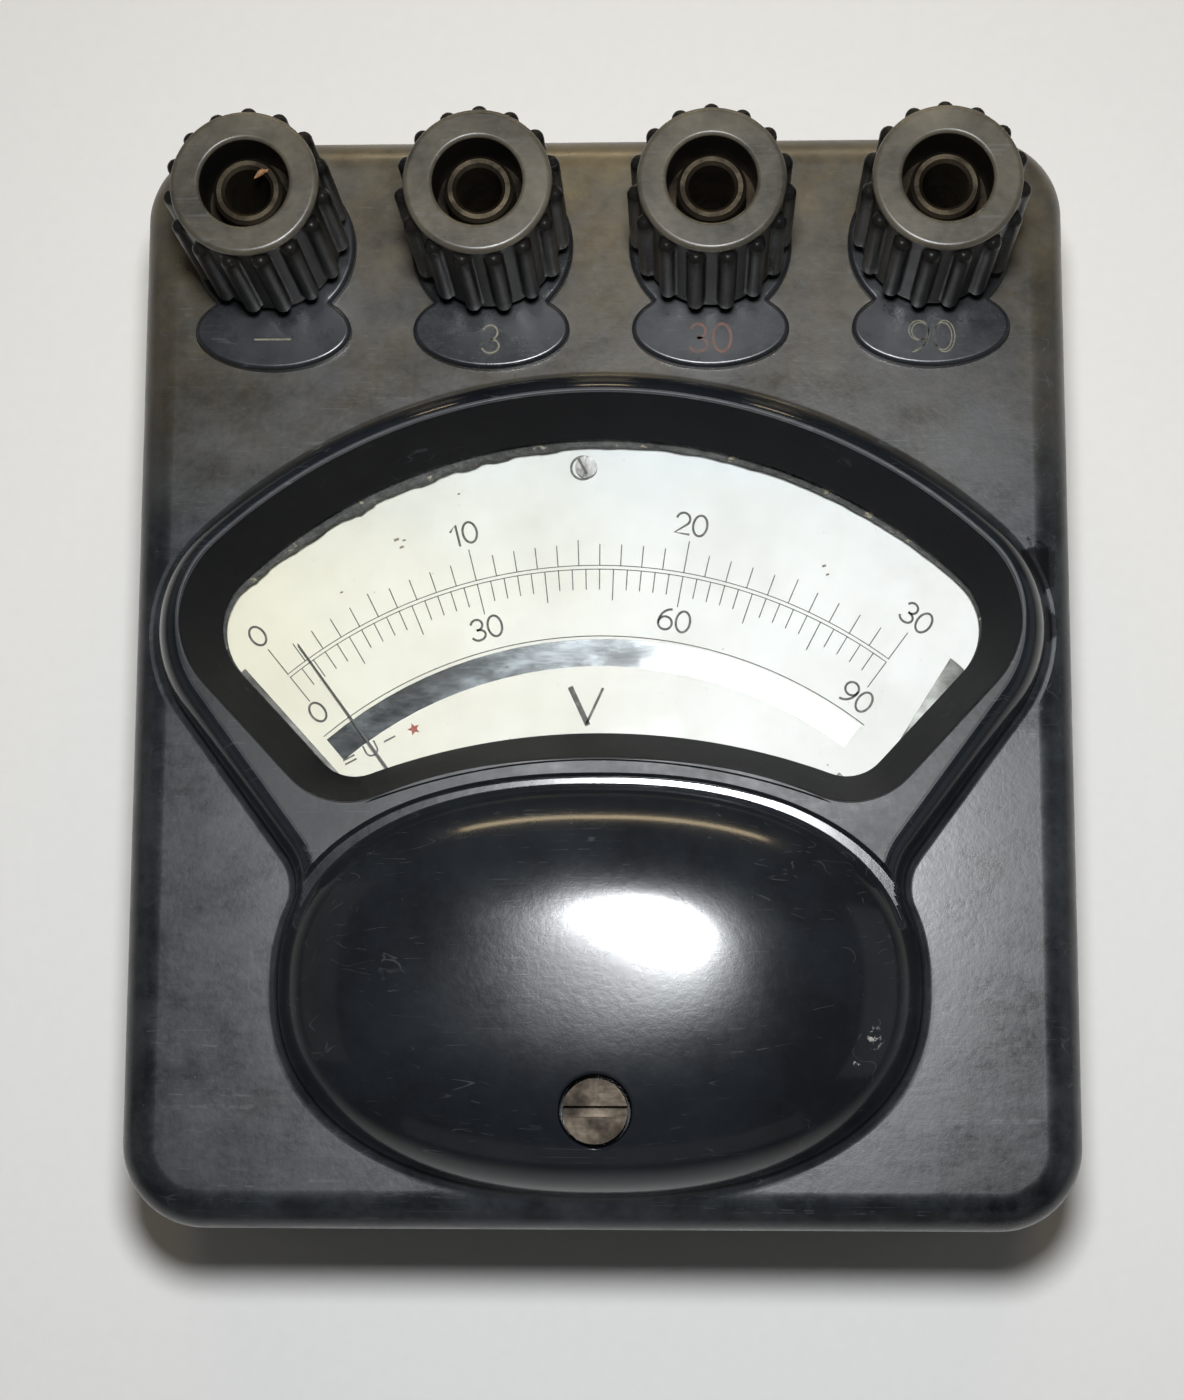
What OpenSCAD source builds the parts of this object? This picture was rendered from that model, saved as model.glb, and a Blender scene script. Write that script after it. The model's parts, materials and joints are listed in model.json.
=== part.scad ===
// Pocket voltmeter for direct current: moulded case, fan-shaped window, pillow-shaped dome
// over the moving-coil movement, and four binding posts with 4 mm sockets.
// Frame: origin at the bottom centre of the case, +Y towards the binding posts, +Z up.

/* [Case] */
// Width of the case
case_w = 85; // [84.6:0.1:86]
// Length of the case
case_l = 100; // [99.6:0.1:101]
// Height of the flat top above the table
top_z = 32; // [32:0.5:34]
// Wall thickness of the moulding
wall = 2.5; // [2.3:0.1:2.6]
// Radius of the upright corners
corner_r = 7.5; // [7:0.5:9]
// Radius of the rounded top edge
edge_r = 3.5; // [3:0.25:3.5]

/* [Window] */
// Height of the window rim above the flat top
rim_h = 5; // [4.5:0.25:5]
// Depth of the glass surface below the flat top
glass_depth = 1; // [1:0.1:1.2]
// Half angle of the window between its radial sides
window_half_angle = 42.9; // [42:0.1:43.5]
// Radius of the arc along the top of the window
window_top_r = 46.9; // [46.5:0.1:47]
// Sideways run of the bevel from the rim down to the glass
bevel_run = 2.9; // [2.5:0.1:3]
// Width of the rounded outer side of the rim
rim_roll = 2.3; // [2:0.1:2.4]

/* [Dome] */
// Half width of the dome
dome_a = 28.4; // [27.5:0.1:28.5]
// Half length of the dome
dome_b = 18.25; // [18:0.05:18.4]
// Height of the dome above the flat top
dome_h = 9.6; // [9.2:0.1:10]

/* [Binding posts] */
// Distance between neighbouring posts
post_pitch = 20; // [19.8:0.1:20]
// Distance of the posts from the centre of the case
post_y = 38.8; // [38.6:0.1:39]
// Diameter of the plug sockets
socket_d = 4; // [3.9:0.05:4.1]
// Number of ribs on each knob
rib_count = 15; // [12:1:16]
// Height of the knob's face above the flat top
knob_top = 18.5; // [18.4:0.1:19]

/* [Movement] */
// Distance of the pointer's axis from the centre of the case, towards the front
pivot_back = 35.6; // [35.4:0.1:35.8]
// Angle of the resting pointer, to the left of the centre line
pointer_rest = 36.1; // [34:0.1:38]
// Length of the pointer from its axis to its tip
pointer_len = 47.1; // [46:0.1:47.5]
// Small turn of the dial about the pointer's axis
dial_turn = 1.5; // [0:0.1:1.6]

/* [Hidden] */
$fn = 48;
POSTS = ["minus", "3", "30", "90"];

bakelite = [0.07, 0.07, 0.08];
brass = [0.72, 0.58, 0.32];
aluminium = [0.75, 0.76, 0.77];
steel = [0.55, 0.56, 0.58];
copper = [0.7, 0.36, 0.2];
hard_paper = [0.45, 0.28, 0.13];
past = 1; // how far a cutting shape runs past the face it cuts
side_gap = 0.1; // gap between neighbouring loose faces

pivot = [0, -pivot_back];
post_x = [-1.5 * post_pitch, -0.5 * post_pitch, 0.5 * post_pitch, 1.5 * post_pitch];

// Window and rim outlines: arcs about points on the centre line, joined by tangent corner arcs
glass_z = top_z - glass_depth;
rim_z = top_z + rim_h;
window_top_y = -25.9; // centre of the top arc
window_corner_r = 6;
window_low_corner_r = 4;
window_bottom_r = 60;
window_bottom_y = -66.1; // centre of the bottom arc
glass_lip = 2; // width of the glass hidden under the rim
glass_t = 1.2;
rim_top_r = window_top_r + bevel_run + rim_roll;
rim_corner_r = 12.4;
rim_flank_angle = 36.4;
rim_flank_origin = [0, -54.8];
rim_end_y = -26; // the rim's lower end, inside the dome
flank_origin = pivot;

// Dome: superellipse outline, crowned section
dome_y = -28.7;
dome_power = 2.3;
dome_crown = 4;
groove_depth = 0.8;
dome_sides = 64;
dome_rings = 7;

// Heights inside the case
roof_z = top_z - wall;
base_t = 2.4;
dial_z = top_z - 4;
card_t = 0.2;
dial_plate_t = 0.6;
pole_z0 = 8.5;
pole_z1 = 20.5;
chassis_t = 1.5;
chassis_z = pole_z1;
core_r = 6;
pole_bore_r = 7.5;
leg_in = 12;
leg_out = 18;
magnet_y = -6; // centre of the magnet's bend
boss_at = [[33, -24], [33, 17], [35, 26.5]];
base_screw_at = [case_w / 2 - 7, case_l / 2 - 7];
board_y = 26.5;
spool_x = [-20, 0, 20];
bridge_post_x = 10.5;
upper_bridge_z = 31.5;
lower_bridge_z = 3.2;

// Dial, radii measured from the pointer's axis
mirror_r0 = 36.1;
mirror_r1 = 38.6;
mirror_half_angle = 39;
dial_screw_r = 54.6;
low_screw_at = [27.4, -9.6];

// Pointer and moving coil
pointer_z = dial_z + 0.4;
pointer_t = 0.6;
axle_r = 0.5;
tip_r = 0.3;
tip_bore_r = 0.36;
coil_w = 3.4;
coil_in_x = 6.25;
coil_out_x = 7.2;
coil_z0 = 6.6;
coil_z1 = 22.2;
coil_half_z = (coil_z1 - coil_z0) / 2;
coil_t_z = 1.1;
coil_rest = pointer_rest - 1.5;
former_t = 0.2;
pointer_low = 4.2; // degrees from rest to the lower stop
pointer_high = 73.6; // degrees from rest to the upper stop
stop_r = 0.4;
stop_at = 9.5;

// Zero adjuster
zero_y = -39.6;
zero_head_r = 2.75;
zero_head_z0 = 38.5;
zero_head_z1 = 41;
zero_shank_r = 1.5;
zero_boss_z = 36;
zero_offset = 0.8; // eccentricity of the pin
zero_pin_r = 0.45;
lever_z = 33.9;
lever_t = 0.6;
zero_slot_half = 0.55;

// Binding posts
label_t = 1.2;
flange_z0 = top_z + label_t;
flange_z1 = flange_z0 + 0.7;
washer_z = flange_z1 + side_gap;
washer_t = 0.8;
knob_z0 = washer_z + washer_t + side_gap;
knob_z1 = top_z + knob_top;
stud_r = 3;
stud_z0 = 22;
stud_z1 = top_z + 16.3;
socket_z0 = 29.9;
thread_pitch = 1;
thread_depth = 0.3;
thread_z0 = knob_z0 + 0.6;
thread_count = 11;
knob_core_r = 6.4;
knob_face_r = 6.15;
knob_hole_r = 3.875;
rib_r = 0.75;
rib_at = 6.5;
insert_r = 4.3;
insert_flange_r = 5.2;
insert_flange_t = 0.7;
insert_z1 = knob_z0 + 9.6;
insert_bore_r = stud_r + 0.06;

// ---------- helpers ----------
function arc(c, r, a0, a1, n) = [for (i = [0:n]) let (a = a0 + (a1 - a0) * i / n) c + r * [cos(a), sin(a)]];
function mirrored(pts) = [for (i = [len(pts) - 1:-1:0]) [-pts[i].x, pts[i].y]];
function open_start(pts) = [for (i = [1:len(pts) - 1]) pts[i]];

// Centre of a corner arc of radius r inside a flank that leaves origin p0 at the angle a from +Y,
// at the distance reach from the arc centre q on the centre line
function corner_centre(p0, a, r, q, reach) = let (
    along = [sin(a), cos(a)],
    inward = [-cos(a), sin(a)],
    v = p0 + r * inward - q,
    t = -(v * along) + sqrt(pow(v * along, 2) - v * v + pow(reach, 2))
) p0 + r * inward + t * along;

// Right half of the window outline, grown by the offset o, from the bottom to the top
function window_half(o) = let (
    a = window_half_angle,
    qt = [0, window_top_y],
    qb = [0, window_bottom_y],
    hi = corner_centre(flank_origin, a, window_corner_r, qt, window_top_r - window_corner_r),
    lo = corner_centre(flank_origin, a, window_low_corner_r, qb, window_bottom_r + window_low_corner_r),
    a_hi = atan2(hi.y - qt.y, hi.x),
    a_lo = atan2(lo.y - qb.y, lo.x)
) concat(
    arc(qb, window_bottom_r - o, 90, a_lo, 6),
    open_start(arc(lo, window_low_corner_r + o, a_lo - 180, -a, 6)),
    arc(hi, window_corner_r + o, -a, a_hi, 8),
    open_start(arc(qt, window_top_r + o, a_hi, 90, 8))
);
function open_ends(half) = [for (i = [1:len(half) - 2]) half[i]];
function window_outline(o) = concat(window_half(o), mirrored(open_ends(window_half(o))));

// Outer outline of the rim, shrunk by the offset o
function rim_half(o) = let (
    q = [0, window_top_y],
    hi = corner_centre(rim_flank_origin, rim_flank_angle, rim_corner_r, q, rim_top_r - rim_corner_r),
    a_hi = atan2(hi.y - q.y, hi.x),
    inward = [-cos(rim_flank_angle), sin(rim_flank_angle)],
    flank = rim_flank_origin + o * inward,
    end_x = flank.x + (rim_end_y - flank.y) * tan(rim_flank_angle)
) concat(
    [[end_x, rim_end_y]],
    arc(hi, rim_corner_r - o, -rim_flank_angle, a_hi, 8),
    open_start(arc(q, rim_top_r - o, a_hi, 90, 8))
);
function rim_outline(o) = concat(rim_half(o), open_start(mirrored(rim_half(o))));

function signed_pow(v, p) = sign(v) * pow(abs(v), p);
function dome_outline(a, b) = [for (i = [0:dome_sides - 1]) let (t = 360 * i / dome_sides)
    [a * signed_pow(cos(t), 2 / dome_power), dome_y + b * signed_pow(sin(t), 2 / dome_power)]];
function ellipse(a, b, c, n) = [for (i = [0:n - 1]) let (t = 360 * i / n) c + [a * cos(t), b * sin(t)]];

// Closed solid through outlines of equal length, lowest first, at the heights zs
module loft(outlines, zs) {
    n = len(outlines[0]);
    m = len(zs);
    points = [for (k = [0:m - 1]) for (p = outlines[k]) [p.x, p.y, zs[k]]];
    sides = [for (k = [0:m - 2]) for (i = [0:n - 1]) let (j = (i + 1) % n)
        [k * n + i, (k + 1) * n + i, (k + 1) * n + j, k * n + j]];
    bottom = [[for (i = [0:n - 1]) i]];
    top = [[for (i = [n - 1:-1:0]) (m - 1) * n + i]];
    polyhedron(points, concat(bottom, sides, top));
}

// Straight-sided solid on an outline
module prism(outline, z0, z1) {
    translate([0, 0, z0]) linear_extrude(z1 - z0) polygon(outline);
}

module tube(r_out, r_in, z0, z1) {
    translate([0, 0, z0]) difference() {
        cylinder(r = r_out, h = z1 - z0);
        translate([0, 0, -past]) cylinder(r = r_in, h = z1 - z0 + 2 * past);
    }
}

module rod(r, z0, z1) {
    translate([0, 0, z0]) cylinder(r = r, h = z1 - z0);
}

module bar(x0, x1, y0, y1, z0, z1) {
    translate([x0, y0, z0]) cube([x1 - x0, y1 - y0, z1 - z0]);
}

module edge_profile(width, height, edge) {
    translate([-width / 2, 0]) square([width, height - edge]);
    translate([-width / 2 + edge, 0]) square([width - 2 * edge, height]);
    for (s = [-1, 1]) translate([s * (width / 2 - edge), height - edge]) circle(r = edge);
}

module corner_profile(radius, height, edge) {
    square([radius, height - edge]);
    square([radius - edge, height]);
    translate([radius - edge, height - edge]) circle(r = edge);
}

// Block on z = 0 with upright corner radius r and top edge radius e
module rounded_block(w, l, h, r, e) {
    rotate([90, 0, 90]) linear_extrude(w - 2 * r, center = true) edge_profile(l, h, e);
    rotate([90, 0, 0]) linear_extrude(l - 2 * r, center = true) edge_profile(w, h, e);
    for (sx = [-1, 1]) for (sy = [-1, 1])
        translate([sx * (w / 2 - r), sy * (l / 2 - r), 0]) rotate_extrude() corner_profile(r, h, e);
}

module at_pivot() {
    translate([pivot.x, pivot.y, 0]) children();
}

module on_both_sides(p) {
    for (s = [-1, 1]) translate([s * p.x, p.y, 0]) children();
}

// ---------- case ----------
module rim() {
    steps = [0, 0.35, 1];
    difference() {
        loft(concat([rim_outline(0)], [for (s = steps) rim_outline(rim_roll * (1 - cos(90 * s)))]),
            concat([roof_z], [for (s = steps) top_z + 0.4 + (rim_h - 0.4) * sin(90 * s)]));
        prism(dome_outline(dome_a, dome_b), rim_z - groove_depth, rim_z + rim_h);
    }
}

module dome_solid(inset, foot_z) {
    a = dome_a - inset;
    b = dome_b - inset;
    h = dome_h - inset;
    radii = [for (i = [0:dome_rings]) 1 - pow(i / dome_rings, 1.6) * 0.92];
    loft(concat([dome_outline(a, b)], [for (q = radii) dome_outline(a * q, b * q)]),
        concat([foot_z], [for (q = radii) top_z + 0.3 + (h - 0.3) * sqrt(1 - pow(q, dome_crown))]));
}

module window_cut() {
    slope = bevel_run / (rim_z - glass_z);
    loft([window_outline(-slope * past), window_outline(bevel_run + slope * past)], [glass_z - past, rim_z + past]);
}

module base_column(sx, sy) {
    translate([sx * base_screw_at.x, sy * base_screw_at.y, 0]) tube(5, 1.4, base_t + side_gap, 14);
}

module cover() color(bakelite) {
    difference() {
        union() {
            rounded_block(case_w, case_l, top_z, corner_r, edge_r);
            rim();
            dome_solid(0, roof_z);
        }
        translate([0, 0, -past])
            rounded_block(case_w - 2 * wall, case_l - 2 * wall, roof_z + past, corner_r - wall, 1);
        difference() {
            dome_solid(wall, roof_z - past);
            translate([0, zero_y, 0]) rod(4.6, zero_boss_z, rim_z + rim_h);
        }
        window_cut();
        prism(window_outline(glass_lip + 0.15), roof_z - 2 * past, glass_z);
        for (x = post_x) translate([x, post_y, 0]) rod(stud_r + 0.05, roof_z - past, top_z + past);
        translate([0, zero_y, 0]) rod(zero_shank_r + 0.08, roof_z, rim_z + rim_h);
        translate([0, zero_y, 0]) rod(zero_head_r + 0.25, zero_head_z0 - side_gap, rim_z + 2 * rim_h);
    }
    for (sx = [-1, 1]) for (sy = [-1, 1]) intersection() {
        base_column(sx, sy);
        rounded_block(case_w - wall, case_l - wall, top_z, corner_r - wall / 2, 1);
    }
    for (p = boss_at) on_both_sides(p) tube(3, 1, chassis_z + chassis_t, roof_z + 0.5);
}

module base_plate() color(bakelite) {
    w = case_w - 2 * wall - 2 * side_gap;
    l = case_l - 2 * wall - 2 * side_gap;
    r = corner_r - wall - side_gap;
    difference() {
        union() {
            bar(-w / 2 + r, w / 2 - r, -l / 2, l / 2, 0, base_t);
            bar(-w / 2, w / 2, -l / 2 + r, l / 2 - r, 0, base_t);
            for (sx = [-1, 1]) for (sy = [-1, 1])
                translate([sx * (w / 2 - r), sy * (l / 2 - r), 0]) cylinder(r = r, h = base_t);
        }
        for (sx = [-1, 1]) for (sy = [-1, 1])
            translate([sx * base_screw_at.x, sy * base_screw_at.y, 0]) {
                rod(1.6, -past, base_t + past);
                translate([0, 0, -0.01]) cylinder(r1 = 3.1, r2 = 1.6, h = 1.7);
            }
    }
}

module base_screws() color(steel) {
    for (sx = [-1, 1]) for (sy = [-1, 1])
        translate([sx * base_screw_at.x, sy * base_screw_at.y, 0]) difference() {
            union() {
                translate([0, 0, 0.3]) cylinder(r1 = 2.7, r2 = 1.35, h = 1.4);
                rod(1.35, 1, 11);
            }
            bar(-3, 3, -0.35, 0.35, 0, 0.9);
        }
}

module window_glass() color([0.8, 0.9, 0.9, 0.35]) {
    prism(window_outline(glass_lip), glass_z - glass_t, glass_z);
}

module glass_putty() color([0.3, 0.3, 0.29]) {
    difference() {
        prism(window_outline(glass_lip), glass_z - 1.8, glass_z - glass_t);
        prism(window_outline(0.3), glass_z - 2.8, glass_z);
    }
}

// ---------- dial ----------
module dial_blank(grow, z0, z1) {
    at_pivot() rotate(dial_turn) translate(-[pivot.x, pivot.y, 0]) prism(window_outline(grow), z0, z1);
}

module sector(r0, r1, half_angle, z0, z1) {
    n = 24;
    inner = [for (i = [0:n]) let (a = 90 - half_angle + 2 * half_angle * i / n) r0 * [cos(a), sin(a)]];
    outer = [for (i = [n:-1:0]) let (a = 90 - half_angle + 2 * half_angle * i / n) r1 * [cos(a), sin(a)]];
    at_pivot() rotate(dial_turn) prism(concat(inner, outer), z0, z1);
}

module dial_holes(r, z0, z1) {
    at_pivot() rotate(dial_turn) translate([0, dial_screw_r, 0]) rod(r, z0, z1);
    on_both_sides(low_screw_at) rod(r, z0, z1);
}

module dial_plate() color(aluminium) {
    difference() {
        dial_blank(3.2, dial_z - card_t - dial_plate_t, dial_z - card_t);
        dial_holes(0.7, 0, top_z);
    }
}

module dial_card() color([0.93, 0.91, 0.83]) {
    card_half_angle = 40.8;
    card_step_r = 48.7;
    difference() {
        intersection() {
            dial_blank(2.9, dial_z - card_t, dial_z);
            union() {
                sector(20, card_step_r, card_half_angle, dial_z - 1, dial_z + 1);
                sector(card_step_r - 0.1, 60, 52, dial_z - 1, dial_z + 1);
            }
        }
        sector(mirror_r0, mirror_r1, mirror_half_angle, dial_z - 1, dial_z + 1);
        dial_holes(0.7, 0, top_z);
    }
}

module mirror_strip() color([0.8, 0.82, 0.85]) {
    sector(mirror_r0, mirror_r1, mirror_half_angle, dial_z - card_t, dial_z - card_t / 4);
}

module dial_screw() {
    difference() {
        union() {
            rod(1, dial_z, dial_z + 0.7);
            rod(0.6, dial_z - 4, dial_z + 0.1);
        }
        bar(-2, 2, -0.15, 0.15, dial_z + 0.35, dial_z + 1);
    }
}

module dial_screws() color(steel) {
    at_pivot() rotate(dial_turn) translate([0, dial_screw_r, 0]) rotate(80) dial_screw();
    on_both_sides(low_screw_at) rotate(30) dial_screw();
}

module dial_posts() color(brass) {
    difference() {
        dial_holes(2, chassis_z + chassis_t, dial_z - card_t - dial_plate_t);
        dial_holes(0.65, chassis_z + chassis_t - 0.01, top_z);
    }
}

// ---------- movement ----------
module chassis() color(aluminium) {
    z0 = chassis_z;
    z1 = chassis_z + chassis_t;
    half = [[leg_out, -46.4], [leg_out, -28], [36, -28], [36, -20], [30.5, -20], [30.5, -6.5], [6, -6.5], [6, 13.5],
        [36, 13.5], [36, 21]];
    difference() {
        prism(concat(half, mirrored(half)), z0, z1);
        at_pivot() rod(pole_bore_r + 0.9, z0 - past, z1 + past);
        for (i = [0:1]) on_both_sides(boss_at[i]) rod(1.1, z0 - past, z1 + past);
    }
}

module chassis_screws() color(steel) {
    for (p = boss_at) on_both_sides(p) difference() {
        union() {
            rod(2, chassis_z - 1.2, chassis_z);
            rod(0.98, chassis_z - 0.1, roof_z - 2);
        }
        bar(-3, 3, -0.25, 0.25, chassis_z - 2, chassis_z - 0.6);
    }
}

module magnet() color([0.35, 0.12, 0.1]) {
    z0 = pole_z0 + 1;
    difference() {
        union() {
            translate([0, magnet_y, 0]) rod(leg_out, z0, pole_z1);
            bar(-leg_out, leg_out, -44, magnet_y, z0, pole_z1);
        }
        translate([0, magnet_y, 0]) rod(leg_in, z0 - past, pole_z1 + past);
        bar(-leg_in, leg_in, -44 - past, magnet_y, z0 - past, pole_z1 + past);
    }
}

module pole_shoes() color(steel) {
    half = 7.2;
    at_pivot() for (s = [-1, 1]) difference() {
        bar(min(s * 4.2, s * leg_in), max(s * 4.2, s * leg_in), -half, half, pole_z0, pole_z1);
        rod(pole_bore_r, 0, top_z);
    }
}

module core() color(steel) {
    at_pivot() rod(core_r, pole_z0, pole_z1);
}

module core_bracket() color(brass) {
    at_pivot() difference() {
        union() {
            bar(-2.2, 2.2, 5, 10.6, 12, 17);
            bar(-2.2, 2.2, 8.6, 10.6, 12, pole_z1);
        }
        rod(core_r, 0, top_z);
    }
}

module magnet_clamp() color(brass) {
    difference() {
        union() {
            bar(-4, 4, -3, 14.5, pole_z0 - 0.5, pole_z0 + 1);
            bar(-4, 4, 12.3, 14.5, pole_z0, chassis_z);
        }
        translate([0, -1, 0]) rod(1, 0, top_z);
    }
}

module lower_bridge() color(brass) {
    at_pivot() {
        difference() {
            bar(-13, 13, -2.5, 2.5, lower_bridge_z, lower_bridge_z + 1.6);
            rod(1.5, 0, lower_bridge_z + 3);
        }
        for (s = [-1, 1]) translate([s * bridge_post_x, 0, 0]) rod(1.4, lower_bridge_z + 1.6, pole_z0);
    }
}

module upper_bridge() color(brass) {
    at_pivot() {
        difference() {
            bar(-13, 13, -2.5, 2.5, upper_bridge_z, upper_bridge_z + 1.8);
            rod(1.5, upper_bridge_z - past, upper_bridge_z + 3);
        }
        for (s = [-1, 1]) translate([s * bridge_post_x, 0, 0]) rod(1.5, chassis_z + chassis_t, upper_bridge_z);
    }
}

module jewel_screws() color(brass) {
    at_pivot() {
        difference() {
            rod(zero_shank_r, upper_bridge_z + 0.2, lever_z + lever_t + 0.6);
            rod(tip_bore_r, upper_bridge_z, upper_bridge_z + 1.3);
        }
        difference() {
            rod(1.5, lower_bridge_z - 0.2, lower_bridge_z + 1.8);
            rod(tip_bore_r, lower_bridge_z + 0.9, lower_bridge_z + 3);
        }
    }
}

// Flat spiral strip from radius r0 to r1
module spiral(r0, r1, turns, strip, z0, height, start) {
    n = 18 * turns;
    function at(i, o) = let (a = start + 360 * turns * i / n, r = r0 + (r1 - r0) * i / n + o) r * [cos(a), sin(a)];
    translate([0, 0, z0]) linear_extrude(height)
        polygon(concat([for (i = [0:n]) at(i, 0)], [for (i = [n:-1:0]) at(i, strip)]));
}

module lower_hairspring() color([0.8, 0.68, 0.4]) {
    at_pivot() {
        spiral(0.8, 4.2, 3, 0.12, lower_bridge_z + 2.5, 0.5, 90);
        translate([0, 4.26, 0]) rod(0.35, lower_bridge_z + 1.4, lower_bridge_z + 3.1);
        bar(-0.8, 0.8, 2.5, 4.8, lower_bridge_z, lower_bridge_z + 1.6);
    }
}

module pointer_stops() color(steel) {
    clear = asin((stop_r + 0.2) / stop_at);
    for (a = [pointer_rest + pointer_low + clear, pointer_rest - pointer_high - clear])
        at_pivot() rotate(a) translate([0, stop_at, 0]) rod(stop_r, chassis_z + chassis_t, pointer_z + pointer_t);
}

// ---------- series resistors and wiring ----------
module resistor_board() color(hard_paper) {
    difference() {
        bar(-38, 38, 22, 31, chassis_z, chassis_z + chassis_t);
        on_both_sides(boss_at[2]) rod(1.1, 0, top_z);
    }
}

module resistor_spools() color([0.85, 0.83, 0.78]) {
    for (x = spool_x) translate([x, board_y, 0]) {
        rod(3.5, 7, chassis_z);
        rod(7, 6.5, 7.5);
        rod(7, chassis_z - 1, chassis_z);
    }
}

module resistor_windings() color(copper) {
    for (x = spool_x) translate([x, board_y, 0]) tube(6.2, 3.5, 7.5, chassis_z - 1);
}

module wiring() color(copper) {
    for (x = post_x) translate([x, post_y - 9, 0]) rod(0.5, chassis_z + chassis_t, roof_z - 0.6);
}

module stud_nuts() color(brass) {
    for (x = post_x) translate([x, post_y, 0]) difference() {
        translate([0, 0, roof_z - 4]) cylinder(r = 5.4, h = 3.4, $fn = 6);
        rod(stud_r + 0.02, 0, top_z);
    }
}

module solder_lugs() color(brass) {
    for (x = post_x) translate([x, post_y, 0]) difference() {
        union() {
            rod(4.6, roof_z - 0.6, roof_z);
            bar(-1.2, 1.2, -10, -2, roof_z - 0.6, roof_z);
        }
        rod(stud_r + 0.02, 0, top_z);
        translate([0, -9, 0]) rod(0.52, 0, top_z);
    }
}

// ---------- binding posts ----------
module label_plate(i) color(bakelite) {
    translate([post_x[i], post_y, top_z]) difference() {
        union() {
            cylinder(r = 7.45, h = label_t);
            linear_extrude(label_t) polygon(ellipse(7.15, 3.75, [0, -7.9], 40));
        }
        translate([0, 0, -past]) cylinder(r = stud_r + 0.05, h = label_t + 2 * past);
    }
}

module stud(i) color(brass) {
    thread = [for (k = [0:thread_count - 1]) each [[stud_r, thread_z0 + k * thread_pitch],
        [stud_r - thread_depth, thread_z0 + (k + 0.5) * thread_pitch]]];
    translate([post_x[i], post_y, 0]) rotate_extrude() polygon(concat(
        [[0, stud_z0], [stud_r, stud_z0], [stud_r, flange_z0], [6, flange_z0], [6, flange_z1], [stud_r, flange_z1]],
        thread,
        [[stud_r, thread_z0 + thread_count * thread_pitch], [stud_r, stud_z1 - 0.3], [stud_r - 0.3, stud_z1],
        [socket_d / 2 + 0.3, stud_z1], [socket_d / 2, stud_z1 - 0.3], [socket_d / 2, socket_z0], [0, socket_z0]]));
}

module washer(i) color(brass) {
    translate([post_x[i], post_y, 0]) tube(6.1, stud_r + 0.08, washer_z, washer_z + washer_t);
}

module insert(i) color(brass) {
    translate([post_x[i], post_y, 0]) difference() {
        union() {
            rod(insert_flange_r, knob_z0, knob_z0 + insert_flange_t);
            rod(insert_r, knob_z0, insert_z1);
        }
        rod(insert_bore_r, 0, top_z + knob_top);
    }
}

module head(i) color(bakelite) {
    translate([post_x[i], post_y, 0]) difference() {
        union() {
            rotate_extrude() polygon([[0, knob_z0], [knob_core_r, knob_z0], [knob_core_r, knob_z1 - 0.9],
                [knob_face_r, knob_z1 - 0.35], [knob_face_r - 0.35, knob_z1], [0, knob_z1]]);
            for (k = [0:rib_count - 1]) rotate(90 + 360 * k / rib_count) translate([rib_at, 0, 0])
                rod(rib_r, knob_z0 + 0.5, knob_z1 - 1.2);
        }
        rod(insert_flange_r, knob_z0 - past, knob_z0 + insert_flange_t);
        rod(insert_r, knob_z0 - past, insert_z1);
        rod(knob_hole_r, knob_z0, knob_z1 + past);
    }
}

// ---------- moving parts of the movement ----------
module at_rest() {
    at_pivot() rotate(pointer_rest) children();
}

module pointer() color([0.1, 0.1, 0.1]) {
    at_rest() difference() {
        union() {
            translate([0, 0, pointer_z]) linear_extrude(pointer_t)
                polygon([[-0.15, 0], [-0.12, 30], [-0.05, pointer_len], [0.05, pointer_len], [0.12, 30], [0.15, 0]]);
            rod(1.1, pointer_z, pointer_z + pointer_t);
            bar(-0.2, 0.2, -6.6, 0, pointer_z, pointer_z + pointer_t);
        }
        rod(axle_r, 0, top_z);
    }
}

module counterweights() color(brass) {
    at_rest() for (y = [-6.2, -5.1]) translate([0, y, 0]) difference() {
        rod(0.5, pointer_z - 0.2, pointer_z + 0.8);
        bar(-0.2, 0.2, -2, 2, pointer_z, pointer_z + pointer_t);
    }
}

module coil_ring(x_in, x_out, z_in, z_out, width) {
    mid = (coil_z0 + coil_z1) / 2;
    rotate([90, 0, 0]) translate([0, mid, 0]) linear_extrude(width, center = true) difference() {
        square([2 * x_out, 2 * z_out], center = true);
        square([2 * x_in, 2 * z_in], center = true);
    }
}

module coil_former() color(aluminium) {
    at_pivot() rotate(coil_rest)
        coil_ring(coil_in_x, coil_in_x + former_t, coil_half_z - coil_t_z, coil_half_z - coil_t_z + former_t, coil_w);
}

module coil_winding() color(copper) {
    at_pivot() rotate(coil_rest)
        coil_ring(coil_in_x + former_t, coil_out_x, coil_half_z - coil_t_z + former_t, coil_half_z, coil_w - 0.4);
}

module axle() color(steel) {
    at_pivot() {
        rod(axle_r, coil_z1, upper_bridge_z - 0.3);
        rod(tip_r, upper_bridge_z - 0.4, upper_bridge_z + 1.2);
        rod(1.2, coil_z1, coil_z1 + 0.5);
        rod(axle_r, lower_bridge_z + 2, coil_z0);
        rod(tip_r, lower_bridge_z + 1, lower_bridge_z + 2.1);
        rod(1.2, coil_z0 - 0.3, coil_z0);
    }
}

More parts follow.
